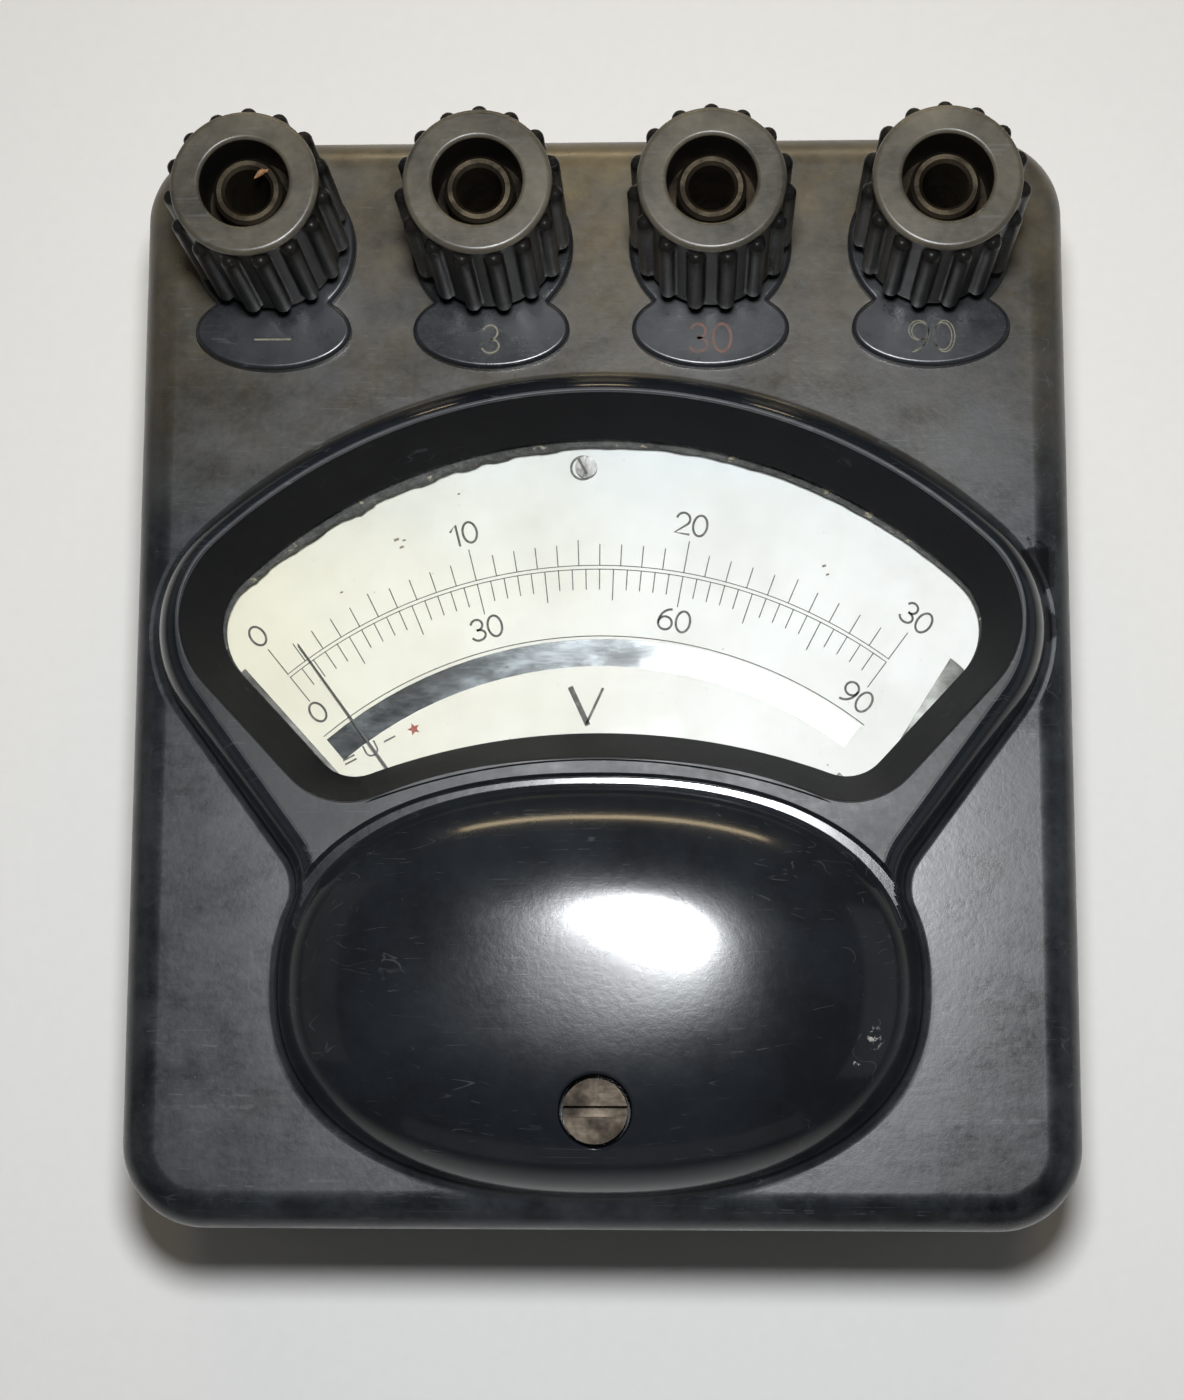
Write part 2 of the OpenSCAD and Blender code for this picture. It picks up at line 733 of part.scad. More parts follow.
// ---------- zero adjuster ----------
module zero_screw() color(brass) {
    translate([0, zero_y, 0]) {
        difference() {
            rod(zero_head_r, zero_head_z0, zero_head_z1);
            bar(-zero_head_r - past, zero_head_r + past, -0.45, 0.45, zero_head_z1 - 1.1, zero_head_z1 + past);
        }
        rod(zero_shank_r, zero_boss_z - 0.6, zero_head_z0 + 0.1);
        translate([0, -zero_offset, 0]) rod(zero_pin_r, lever_z - 0.5, zero_boss_z - 0.5);
    }
}

module zero_clip() color(steel) {
    translate([0, zero_y, 0]) tube(3, zero_shank_r, zero_boss_z - 0.5, zero_boss_z - 0.1);
}

module zero_lever() color(brass) {
    z1 = lever_z + lever_t;
    at_pivot() difference() {
        union() {
            rod(2.6, lever_z, z1);
            bar(-1.3, 1.3, -5.8, 0, lever_z, z1);
            rotate(60) bar(0, 4.8, -0.6, 0.6, lever_z, z1);
            rotate(60) translate([4.4, 0, 0]) rod(0.4, 30.2, z1);
        }
        rod(zero_shank_r + 0.06, 0, top_z + rim_h);
        bar(-zero_slot_half, zero_slot_half, -7, -3.6, 0, top_z + rim_h);
    }
}

module upper_hairspring() color([0.8, 0.68, 0.4]) {
    at_pivot() difference() {
        spiral(0.8, 4.35, 3, 0.12, 30.3, 0.6, 60);
        rotate(60) translate([4.4, 0, 0]) rod(0.4, 0, top_z);
    }
}

cover();
base_plate();
base_screws();
window_glass();
glass_putty();
dial_plate();
dial_card();
mirror_strip();
dial_screws();
dial_posts();
chassis();
chassis_screws();
magnet();
pole_shoes();
core();
core_bracket();
magnet_clamp();
lower_bridge();
upper_bridge();
jewel_screws();
lower_hairspring();
pointer_stops();
resistor_board();
resistor_spools();
resistor_windings();
wiring();
stud_nuts();
solder_lugs();
label_plate(0);  // label_minus
label_plate(1);  // label_3
label_plate(2);  // label_30
label_plate(3);  // label_90
stud(0);  // stud_minus
stud(1);  // stud_3
stud(2);  // stud_30
stud(3);  // stud_90
washer(0);  // washer_minus
washer(1);  // washer_3
washer(2);  // washer_30
washer(3);  // washer_90
insert(0);  // insert_minus
insert(1);  // insert_3
insert(2);  // insert_30
insert(3);  // insert_90
head(0);  // head_minus
head(1);  // head_3
head(2);  // head_30
head(3);  // head_90
pointer();
coil_former();
coil_winding();
axle();
counterweights();
zero_screw();
zero_clip();
zero_lever();
upper_hairspring();
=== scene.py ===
import json
import random
from math import atan2, copysign, cos, degrees, hypot, pi, radians, sin, sqrt, tan

import bpy
import numpy as np
from mathutils import Matrix, Vector
from mathutils.geometry import tessellate_polygon
from mathutils.kdtree import KDTree


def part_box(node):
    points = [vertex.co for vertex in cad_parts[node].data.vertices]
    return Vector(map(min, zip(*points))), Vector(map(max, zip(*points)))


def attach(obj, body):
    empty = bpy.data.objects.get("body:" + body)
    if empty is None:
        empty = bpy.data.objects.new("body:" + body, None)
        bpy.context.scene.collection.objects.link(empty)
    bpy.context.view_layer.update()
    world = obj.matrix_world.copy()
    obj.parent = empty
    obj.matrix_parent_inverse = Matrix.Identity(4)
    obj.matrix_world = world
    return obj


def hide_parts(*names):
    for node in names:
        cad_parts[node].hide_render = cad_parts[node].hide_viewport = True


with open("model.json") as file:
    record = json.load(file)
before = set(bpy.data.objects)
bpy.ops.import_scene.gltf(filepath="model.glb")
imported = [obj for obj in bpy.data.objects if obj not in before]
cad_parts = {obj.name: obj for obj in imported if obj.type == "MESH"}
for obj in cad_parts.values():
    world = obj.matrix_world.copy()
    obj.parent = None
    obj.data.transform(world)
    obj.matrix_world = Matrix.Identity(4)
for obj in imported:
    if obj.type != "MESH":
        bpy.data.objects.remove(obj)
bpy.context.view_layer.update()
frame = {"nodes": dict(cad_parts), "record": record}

# Plans and heights below are in millimetres, in the row frame; piece() turns them into metres.
MM = 0.001
POSTS = ("minus", "3", "30", "90")
DICE = random.Random(7)


def node_box(node):
    lo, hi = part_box(node)
    return np.array(lo) / MM, np.array(hi) / MM


def node_centre(node):
    lo, hi = node_box(node)
    return (lo[:2] + hi[:2]) / 2


CASE_LO, CASE_HI = node_box("cover")
TOP = node_box("label_3")[0][2]
GLASS = node_box("window_glass")[1][2]
DIAL = node_box("dial_card")[1][2]
PIVOT = node_centre("core")
RIM = TOP + 5.0
DOME_H = CASE_HI[2] - TOP
DOME_AT = np.array([0.0, -28.7])
DOME_A, DOME_B, DOME_POWER = 28.4, 18.25, 2.3
FOOT = 0.9  # fillet where the rim and the dome stand on the flat top
EDGE_R = 3.5  # rounding of the case round its flat top
GROOVE = 0.8  # depth of the groove between the rim's flat and the dome
ROLL = 2.3  # width of the rim's rounded outer side
BEVEL = 2.9  # run of the bevel from the rim down to the glass
WINDOW_TOP = np.array([0.0, -25.9])
ZERO_AT = node_centre("zero_screw")
STUD_HOLE_R = 3.1  # hole for a stud in the case and in its label plate


# ---------- plan outlines ----------
class Outline:
    """A closed plan curve with the outward normal at each point, counter-clockwise from the bottom."""

    def __init__(self, points, normals):
        self.points = np.array(points)
        self.normals = np.array(normals)

    def offset(self, distance):
        return self.points + distance * self.normals


def unit(angle):
    return np.array([cos(angle), sin(angle)])


def joined_arcs(arcs, step=0.35):
    """Points and normals along arcs given as (centre, radius, start, end, side), joined by straights."""
    points, normals = [], []
    for centre, radius, start, end, side in arcs:
        count = max(2, round(abs(radians(end - start)) * radius / step))
        for angle in np.radians(np.linspace(start, end, count + 1)):
            point = np.array(centre) + radius * unit(angle)
            if points:
                last, gap = points[-1], point - points[-1]
                length = float(np.hypot(*gap))
                if length < 1e-6:
                    continue
                parts = int(length / (2 * step))
                for i in range(1, parts):
                    points.append(last + gap * i / parts)
                    normals.append(side * unit(angle))
            points.append(point)
            normals.append(side * unit(angle))
    return points, normals


def closed(half_points, half_normals):
    """An outline from its right half and the mirror image of that."""
    flip = np.array([-1.0, 1.0])
    points, normals = list(half_points), list(half_normals)
    for p, n in reversed(list(zip(half_points, half_normals))):
        if p[0] > 1e-6:
            points.append(p * flip)
            normals.append(n * flip)
    return Outline(points, normals)


def corner_centre(origin, angle, radius, centre, reach):
    """Centre of a corner arc inside a flank that leaves origin at this angle from +Y."""
    a = radians(angle)
    along, inward = np.array([sin(a), cos(a)]), np.array([-cos(a), sin(a)])
    v = np.array(origin) + radius * inward - centre
    t = -(v @ along) + sqrt((v @ along) ** 2 - v @ v + reach**2)
    return np.array(origin) + radius * inward + t * along


def bearing(point, centre):
    return degrees(atan2(point[1] - centre[1], point[0] - centre[0]))


def window_outline():
    flank, top_r, bottom_r, high_r, low_r = 42.9, 46.9, 60.0, 6.0, 4.0
    bottom = np.array([0.0, -66.1])
    high = corner_centre(PIVOT, flank, high_r, WINDOW_TOP, top_r - high_r)
    low = corner_centre(PIVOT, flank, low_r, bottom, bottom_r + low_r)
    high_end, low_start = bearing(high, WINDOW_TOP), bearing(low, bottom)
    return closed(*joined_arcs([
        (bottom, bottom_r, 90, low_start, -1), (low, low_r, low_start - 180, -flank, 1),
        (high, high_r, -flank, high_end, 1), (WINDOW_TOP, top_r, high_end, 90, 1)]))


def dome_point(angle, scale=1.0):
    c, s, e = cos(angle), sin(angle), 2 / DOME_POWER
    reach = [DOME_A * copysign(abs(c) ** e, c), DOME_B * copysign(abs(s) ** e, s)]
    return DOME_AT + scale * np.array(reach)


def dome_rho(x, y):
    """Superellipse radius of a point, 1 on the dome's outline, and its slope per millimetre."""
    u, v, n = abs(x - DOME_AT[0]) / DOME_A, abs(y - DOME_AT[1]) / DOME_B, DOME_POWER
    rho = (u**n + v**n) ** (1 / n)
    if rho < 1e-9:
        return 0.0, 1.0
    scale = rho ** (1 - n)
    return rho, hypot(scale * u ** (n - 1) / DOME_A, scale * v ** (n - 1) / DOME_B)


def dome_normal(point):
    n = DOME_POWER
    x, y = point - DOME_AT
    g = np.array([copysign((abs(x) / DOME_A) ** (n - 1) / DOME_A, x),
                  copysign((abs(y) / DOME_B) ** (n - 1) / DOME_B, y)])
    return g / np.hypot(*g)


def foot_outline():
    """Where the rim and the dome stand on the flat top. The weights say rim (1) or dome (0)."""
    origin = np.array([0.0, -54.8])
    flank, top_r, corner_r, neck_r = 36.4, 52.1, 12.4, 5.0
    a = radians(flank)
    outward = np.array([cos(a), -sin(a)])
    lo, hi = 0.0, radians(60)
    for _ in range(60):
        mid = (lo + hi) / 2
        p = dome_point(mid)
        if (p + neck_r * dome_normal(p) - origin) @ outward > neck_r:
            lo = mid
        else:
            hi = mid
    touch = dome_point(lo)
    neck = touch + neck_r * dome_normal(touch)
    points = [dome_point(t) for t in np.linspace(-pi / 2, lo, 360)]
    normals = [dome_normal(p) for p in points]
    high = corner_centre(origin, flank, corner_r, WINDOW_TOP, top_r - corner_r)
    high_end = bearing(high, WINDOW_TOP)
    more, more_normals = joined_arcs([
        (neck, neck_r, bearing(touch, neck) % 360, 180 - flank, -1),
        (high, corner_r, -flank, high_end, 1), (WINDOW_TOP, top_r, high_end, 90, 1)], 0.2)
    below = [np.hypot(*(p - touch)) for p in points]
    weights = [1 - smooth(b / 6) for b in below] + [1.0] * (len(more) - 1)
    outline = closed(points + more[1:], normals + more_normals[1:])
    mirrored = zip(reversed(weights), reversed(points + more[1:]))
    outline.weights = np.array(weights + [w for w, p in mirrored if p[0] > 1e-6])
    return outline


def smooth(t):
    t = min(max(t, 0.0), 1.0)
    return t * t * (3 - 2 * t)


def case_outline():
    corner_r = 7.5
    x, y = CASE_HI[0] - corner_r, CASE_HI[1] - corner_r
    return closed(*joined_arcs([((x, -y), corner_r, -90, 0, 1), ((x, y), corner_r, 0, 90, 1)], 0.5))


WINDOW = window_outline()
FOOT_LINE = foot_outline()
CASE = case_outline()


# ---------- height of the moulding above its flat top ----------
foot_tree = KDTree(len(FOOT_LINE.points))
for index, (px, py) in enumerate(FOOT_LINE.points):
    foot_tree.insert((px, py, 0.0), index)
foot_tree.balance()


def fillet(inside):
    """Height of the concave foot at a distance inside the line that it climbs to, negative outside."""
    return FOOT - sqrt(max(0.0, FOOT**2 - (inside + FOOT) ** 2))


def rim_height(inside):
    """Height of the rim at a distance inside the foot line: fillet, rounded side, flat."""
    if inside <= -FOOT:
        return 0.0
    if inside < 0:
        return fillet(inside)
    full = RIM - TOP
    if inside >= ROLL:
        return full
    return FOOT + (full - FOOT) * sqrt(max(0.0, 1 - (1 - inside / ROLL) ** 2))


def moulding_height(x, y):
    """Height of the rim and the dome at a point in plan, with the groove between them."""
    near, index, _ = foot_tree.find((x, y, 0.0))
    nx, ny = FOOT_LINE.normals[index]
    rim = rim_height((near[0] - x) * nx + (near[1] - y) * ny) * FOOT_LINE.weights[index]
    rho, slope = dome_rho(x, y)
    inside = (1 - rho) / slope
    rim -= max(0.0, rim - (RIM - TOP - GROOVE)) * smooth((inside + 0.12) / 0.36)
    if inside >= 0:
        dome = max(DOME_H * sqrt(max(0.0, 1 - rho**4)), FOOT)
    elif inside > -FOOT:
        dome = fillet(inside)
    else:
        dome = 0.0
    # the two meet in a small round hollow
    blend = max(1e-6, min(0.3, rim, dome))
    closeness = max(blend - abs(rim - dome), 0.0) / blend
    height = max(rim, dome) + closeness * closeness * blend / 4
    over = CASE_LO[1] + EDGE_R - y
    if over <= 0 or height > 1:
        return height
    drop = EDGE_R - sqrt(max(0.0, EDGE_R**2 - over**2))
    return height - drop * (1 - smooth(height))


def moulded(plan, lift=0.0):
    """Points and normals on the moulding over a row of plan points."""
    d = 0.015  # step for the slope
    points, normals = [], []
    for x, y in plan:
        z = moulding_height(x, y)
        gx = (moulding_height(x + d, y) - moulding_height(x - d, y)) / (2 * d)
        gy = (moulding_height(x, y + d) - moulding_height(x, y - d)) / (2 * d)
        points.append((x, y, TOP + z + lift))
        normals.append((-gx, -gy, 1.0))
    normals = np.array(normals)
    return np.array(points), normals / np.linalg.norm(normals, axis=1)[:, None]


# ---------- mesh building ----------
class Shape:
    """Vertices, faces and normals gathered from rows of points."""

    def __init__(self):
        self.points, self.normals, self.faces, self.finish = [], [], [], []

    def add(self, points, normals=None):
        first = len(self.points)
        self.points.extend(np.asarray(points, float))
        self.normals.extend(np.zeros((len(points), 3)) if normals is None else np.asarray(normals, float))
        return first

    def face(self, corners, finish):
        self.faces.append(tuple(corners))
        self.finish.append(finish)

    def rows(self, rows, normals=None, loop=True, finish=0, keep=None):
        """Quads between rows of points. They face out when the rows climb a counter-clockwise wall."""
        count = len(rows[0])
        firsts = [self.add(row, None if normals is None else normals[i]) for i, row in enumerate(rows)]
        for a, b in zip(firsts, firsts[1:]):
            for i in range(count if loop else count - 1):
                j = (i + 1) % count
                quad = (a + i, a + j, b + j, b + i)
                corners = [self.points[k] for k in quad]
                if keep is None or keep(corners):
                    self.face(quad, finish(corners) if callable(finish) else finish)

    def cap(self, loops, z, finish=0):
        """Flat area facing up, inside the first loop and outside the others."""
        flat = [[Vector((p[0], p[1], 0.0)) for p in loop] for loop in loops]
        points = [(p[0], p[1], z) for loop in loops for p in loop]
        first = self.add(points, [(0.0, 0.0, 1.0)] * len(points))
        for a, b, c in tessellate_polygon(flat):
            pa, pb, pc = (np.array(points[i][:2]) for i in (a, b, c))
            ab, ac = pb - pa, pc - pa
            turn = ab[0] * ac[1] - ab[1] * ac[0]
            if abs(turn) < 1e-9:
                continue
            corners = (a, b, c) if turn > 0 else (a, c, b)
            self.face([first + i for i in corners], finish)

    def sweep(self, outline, profile, finish=0):
        """A profile of (offset, z, outward part of the normal, upward part), swept round an outline."""
        rows, normals = [], []
        for offset, z, out, up in profile:
            plan = outline.offset(offset)
            rows.append([(x, y, z) for x, y in plan])
            size = hypot(out, up) or 1.0
            normals.append([(out * n[0] / size, out * n[1] / size, up / size) for n in outline.normals])
        self.rows(rows, normals, True, finish)


def piece(name, shape, materials, body="root", replaces=(), at=(0.0, 0.0)):
    """Makes the object, moved to a point in plan, and gives it to its body."""
    mesh = bpy.data.meshes.new(name)
    points = np.array(shape.points) + np.array([at[0], at[1], 0.0])
    mesh.from_pydata((points * MM).tolist(), [], shape.faces)
    for material in materials:
        mesh.materials.append(material)
    mesh.polygons.foreach_set("material_index", shape.finish)
    mesh.polygons.foreach_set("use_smooth", [True] * len(mesh.polygons))
    mesh.update()
    if any(np.any(n) for n in shape.normals):
        mesh.normals_split_custom_set_from_vertices([tuple(n) for n in shape.normals])
    obj = bpy.data.objects.new(name, mesh)
    bpy.context.scene.collection.objects.link(obj)
    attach(obj, body)
    if replaces:
        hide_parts(*replaces)


def rounded(radius, z, steps=6):
    """Profile rows round a convex edge, from its side at offset 0 up to the height z."""
    rows = []
    for a in np.radians(np.linspace(0, 90, steps + 1)):
        out, up = cos(a), sin(a)
        rows.append((-radius + radius * out, z - radius + radius * up, out, up))
    return rows


def turn_in(count):
    """Angles that split a full turn evenly."""
    return np.linspace(0, 2 * pi, count, endpoint=False)


def circle(count):
    return np.array([unit(a) for a in turn_in(count)])


# ---------- procedural materials ----------
class Material:
    """A principled material whose sockets are fed from noise in object coordinates."""

    def __init__(self, name, **values):
        self.material = bpy.data.materials.new(name)
        self.material.use_nodes = True
        self.tree = self.material.node_tree
        self.shader = self.tree.nodes["Principled BSDF"]
        for key, value in values.items():
            self.shader.inputs[key.replace("_", " ")].default_value = value
        self.coords = self.node("TexCoord").outputs["Object"]
        self.height = None

    def node(self, kind, inputs=None, **settings):
        node = self.tree.nodes.new("ShaderNode" + kind)
        for key, value in settings.items():
            setattr(node, key, value)
        for key, value in (inputs or {}).items():
            node.inputs[key].default_value = value
        return node

    def link(self, source, target):
        self.tree.links.new(source, target)

    def texture(self, kind, size_mm, stretch, turn, move, **inputs):
        """A texture node over object coordinates, its grain about this many millimetres."""
        per_metre = 1 / (size_mm * MM)
        mapping = self.node("Mapping", {"Scale": [per_metre * s for s in stretch],
                                        "Rotation": [radians(t) for t in turn], "Location": move})
        self.link(self.coords, mapping.inputs["Vector"])
        node = self.node(kind, {"Scale": 1.0, **inputs})
        self.link(mapping.outputs["Vector"], node.inputs["Vector"])
        return node

    def noise(self, size_mm, detail=3.0, rough=0.55, stretch=(1, 1, 1), turn=(0, 0, 0), move=(0, 0, 0)):
        node = self.texture("TexNoise", size_mm, stretch, turn, move, Detail=detail, Roughness=rough)
        return node.outputs["Fac"]

    def cells(self, size_mm, move):
        return self.texture("TexVoronoi", size_mm, (1, 1, 1), (0, 0, 0), move).outputs["Distance"]

    def ramp(self, source, stops):
        """Grey levels for a value, from stops of (position, grey)."""
        node = self.node("ValToRGB")
        elements = node.color_ramp.elements
        while len(elements) < len(stops):
            elements.new(0.5)
        for element, (position, grey) in zip(elements, stops):
            element.position = position
            element.color = (grey, grey, grey, 1.0)
        self.link(source, node.inputs["Fac"])
        return node.outputs["Color"]

    def rise(self, source, low, high):
        return self.ramp(source, [(low, 0.0), (high, 1.0)])

    def flecks(self, cells, core, edge, patches, low, high):
        """Small round specks gathered in patches."""
        specks = self.ramp(cells, [(core, 1.0), (edge, 0.0)])
        return self.times(specks, self.rise(patches, low, high))

    def feed(self, value, socket):
        """Links a socket, or sets a number or a colour."""
        if isinstance(value, bpy.types.NodeSocket):
            self.link(value, socket)
        elif isinstance(value, (int, float)):
            socket.default_value = value
        else:
            socket.default_value = (*value, 1.0)

    def mix(self, factor, a, b):
        node = self.node("Mix", data_type="RGBA")
        for value, socket in ((factor, node.inputs["Factor"]), (a, node.inputs[6]), (b, node.inputs[7])):
            self.feed(value, socket)
        return node.outputs[2]

    def math(self, operation, a, b):
        node = self.node("Math", operation=operation)
        self.feed(a, node.inputs[0])
        self.feed(b, node.inputs[1])
        return node.outputs[0]

    def times(self, a, b):
        return self.math("MULTIPLY", a, b)

    def plus(self, a, b):
        return self.math("ADD", a, b)

    def axis(self, name):
        node = self.node("SeparateXYZ")
        self.link(self.coords, node.inputs[0])
        return node.outputs[name]

    def span(self, source, low, high):
        """0 below low, 1 above high, in metres or any unit."""
        node = self.node("MapRange", {"From Min": low, "From Max": high})
        self.link(source, node.inputs["Value"])
        return node.outputs["Result"]

    def near(self, centre_mm, inner_mm, outer_mm, ragged_mm):
        """1 close to a point, fading to 0, with a ragged edge."""
        node = self.node("VectorMath", {1: [c * MM for c in centre_mm]}, operation="DISTANCE")
        self.link(self.coords, node.inputs[0])
        wander = self.times(self.noise(1.6, 4.0, 0.7), 2 * ragged_mm * MM)
        reach = self.plus(node.outputs["Value"], self.math("SUBTRACT", wander, ragged_mm * MM))
        return self.span(reach, outer_mm * MM, inner_mm * MM)

    def scratches(self, turn, size_mm, width, sparse):
        """Thin marks along one direction: level lines of a stretched noise, cut short by two others."""
        stretch = (1 / 70, 1, 1)
        lines = self.noise(size_mm, 0.0, 0.5, stretch, (0, 0, turn), (turn, 0.3, 0))
        line = self.ramp(lines, [(0.5 - width, 0.0), (0.5, 1.0), (0.5 + width, 0.0)])
        patches = self.rise(self.noise(7.0, 2.0, 0.6, move=(0.1 * turn, 2, 0)), sparse, sparse + 0.1)
        cuts = self.rise(self.noise(1.6, 1.0, 0.5, move=(3, 0.2 * turn, 1)), 0.5, 0.56)
        return self.times(line, self.times(patches, cuts))

    def bump(self, source, depth_mm, strength=1.0):
        node = self.node("Bump", {"Strength": strength, "Distance": depth_mm * MM})
        self.link(source, node.inputs["Height"])
        if self.height is not None:
            self.link(self.height, node.inputs["Normal"])
        self.height = node.outputs["Normal"]
        self.link(self.height, self.shader.inputs["Normal"])

    def blend(self, factor, first, second):
        """Mixes two shaders."""
        node = self.node("MixShader")
        for source, socket in zip((factor, first.outputs[0], second.outputs[0]), node.inputs):
            self.link(source, socket)
        return node

    def set(self, **sources):
        for key, source in sources.items():
            self.link(source, self.shader.inputs[key.replace("_", " ")])


def moulding_material(name, dark, worn, rough_low, rough_high, dust=0.5, mark=0.5, gloss=0.5, film=0.0,
                      sheen=0.0, chips=()):
    """Old phenolic moulding: dulled patches, dust in the pores, fine scratches.

    dust and mark are the noise levels above which dust and scratches show.
    """
    m = Material(name, Specular_IOR_Level=gloss)
    patches = m.noise(14.0, 6.0, 0.72, move=(3, 1, 0))
    smears = m.noise(4.0, 5.0, 0.7, (0.5, 1, 1), (0, 0, 35), (2, 6, 1))
    fine = m.noise(0.8, 4.0, 0.7)
    base = m.mix(m.rise(patches, 0.35, 0.7), dark, worn)
    if film:
        # brown film that thickens towards the terminals
        height = m.span(m.axis("Y"), 0.012, 0.05)
        cloud = m.ramp(m.noise(9.0, 5.0, 0.7, move=(6, 2, 4)), [(0.30, 0.25), (0.68, 1.0)])
        base = m.mix(m.times(m.times(height, cloud), film), base, (0.165, 0.130, 0.072))
        grey = m.rise(m.noise(5.0, 5.0, 0.75, move=(1, 8, 4)), 0.42, 0.75)
        base = m.mix(m.times(grey, 0.45 * film), base, (0.060, 0.066, 0.072))
    cover = m.noise(4.0, 4.0, 0.7, move=(1, 5, 2))
    dusty = m.flecks(m.cells(0.9, (7, 7, 7)), 0.03, 0.075, cover, dust, dust + 0.12)
    lines = m.math("MAXIMUM", m.scratches(23, 1.3, 0.012, mark), m.scratches(-58, 1.6, 0.010, mark + 0.03))
    lines = m.math("MAXIMUM", lines, m.scratches(81, 1.4, 0.010, mark + 0.02))
    base = m.mix(m.times(dusty, 0.55), base, (0.17, 0.165, 0.155))
    base = m.mix(m.times(lines, 0.35), base, (0.11, 0.115, 0.12))
    rough = m.plus(m.span(patches, 0.32, 0.68), m.times(m.span(fine, 0.3, 0.7), 0.5))
    rough = m.plus(rough, m.times(m.span(smears, 0.35, 0.65), 0.7))
    rough = m.plus(rough_low, m.times(rough, (rough_high - rough_low) / 2.2))
    rough = m.plus(rough, m.times(dusty, 0.2))
    for at, size in chips:
        crumbs = m.rise(m.noise(0.5, 3.0, 0.75, move=(*at, 0)), 0.56, 0.60)
        chip = m.times(crumbs, m.near((*at, TOP + 7), 0.5 * size, size, 0.6))
        base = m.mix(chip, base, (0.45, 0.43, 0.40))
    if film:
        lower_stain = STAIN + np.array([1.5, -5.0, 0])
        stain = m.math("MAXIMUM", m.near(STAIN, 2.2, 2.8, 2.2), m.near(lower_stain, 1.2, 1.7, 1.5))
        base = m.mix(stain, base, (0.006, 0.006, 0.007))
        rough = m.times(rough, m.math("SUBTRACT", 1.0, m.times(stain, 0.45)))
    m.set(Base_Color=base, Roughness=rough)
    m.bump(fine, 0.016, 0.7)
    m.bump(lines, 0.004, 0.25)
    if sheen:
        # polish left over the finely scratched surface
        for key, value in (("Weight", sheen), ("Roughness", 0.12), ("IOR", 1.55)):
            m.shader.inputs["Coat " + key].default_value = value
    return m.material


def metal_material(name, light, dark, rough_low, rough_high, grain_turn=0, grime=0.45):
    """Bare metal with a grain along one direction, tarnish and grime."""
    m = Material(name, Metallic=1.0)
    grain = m.noise(0.25, 2.0, 0.6, (0.06, 1, 1), (0, 0, grain_turn))
    tarnish = m.rise(m.noise(3.5, 4.0, 0.65, move=(2, 2, 1)), grime - 0.12, grime + 0.2)
    base = m.mix(tarnish, light, dark)
    base = m.mix(m.times(m.span(grain, 0.35, 0.65), 0.25), base, dark)
    rough = m.plus(m.times(tarnish, rough_high - rough_low), rough_low)
    m.set(Base_Color=base, Roughness=m.plus(rough, m.times(grain, 0.06)))
    m.bump(grain, 0.01, 0.35)
    return m.material


def card_material():
    """Aged card: cream to the left, cool white to the right, a painted grey-blue shade along the top, foxing
    specks and faint stains.
    """
    m = Material("dial_card", Roughness=0.62, Specular_IOR_Level=0.25)
    age = m.span(m.axis("X"), -0.036, 0.012)
    base = m.mix(age, (0.90, 0.85, 0.68), (0.95, 0.94, 0.925))
    # painted shade: towards the top edge the card is mixed with grey-blue, where the rim's shadow falls
    painted_shade_near_top = m.span(m.axis("Y"), 0.009, 0.021)
    base = m.mix(m.times(painted_shade_near_top, 0.4), base, (0.74, 0.82, 0.88))
    stain = m.rise(m.noise(9.0, 4.0, 0.6, move=(4, 1, 0)), 0.42, 0.72)
    base = m.mix(m.times(stain, 0.28), base, (0.66, 0.61, 0.47))
    patches = m.noise(5.0, 3.0, 0.6, move=(8, 3, 0))
    foxing = m.flecks(m.cells(1.7, (3, 9, 1)), 0.035, 0.07, patches, 0.56, 0.62)
    base = m.mix(m.times(foxing, 0.7), base, (0.25, 0.22, 0.17))
    m.set(Base_Color=base)
    m.bump(m.noise(1.4, 2.0, 0.6), 0.012, 0.2)
    return m.material


def ink_material(name, colour, faded):
    m = Material(name, Roughness=0.6)
    wear = m.rise(m.noise(0.45, 3.0, 0.7), 0.46, 0.72)
    m.set(Base_Color=m.mix(wear, colour, faded))
    m.bump(m.noise(0.12, 2.0, 0.6), 0.008, 0.3)
    return m.material


def mirror_material():
    """Old silvering: grey streaks to the left, and a painted reflection at the right end, where it turns to
    a diffuse white haze.
    """
    m = Material("mirror")
    clouds = m.noise(2.4, 5.0, 0.7, (0.4, 1, 1), (0, 0, 10), (1, 6, 0))
    streaks = m.noise(0.5, 3.0, 0.65, (0.25, 1, 1), (0, 0, 12))
    # painted reflection: from the middle to the right end the mirror turns rougher, less metallic and near
    # white, in place of a bright reflection
    faded = m.span(m.axis("X"), 0.003, 0.026)
    base = m.mix(m.rise(clouds, 0.38, 0.62), (0.30, 0.31, 0.32), (0.52, 0.56, 0.59))
    base = m.mix(m.times(m.rise(streaks, 0.5, 0.7), 0.45), base, (0.25, 0.25, 0.25))
    base = m.mix(faded, base, (0.90, 0.91, 0.92))
    rough = m.plus(m.times(m.span(clouds, 0.35, 0.65), 0.03), 0.10)
    m.set(Base_Color=base, Roughness=m.plus(rough, m.times(faded, 0.3)),
          Metallic=m.math("SUBTRACT", 1.0, m.times(faded, 0.85)))
    m.bump(streaks, 0.004, 0.3)
    return m.material


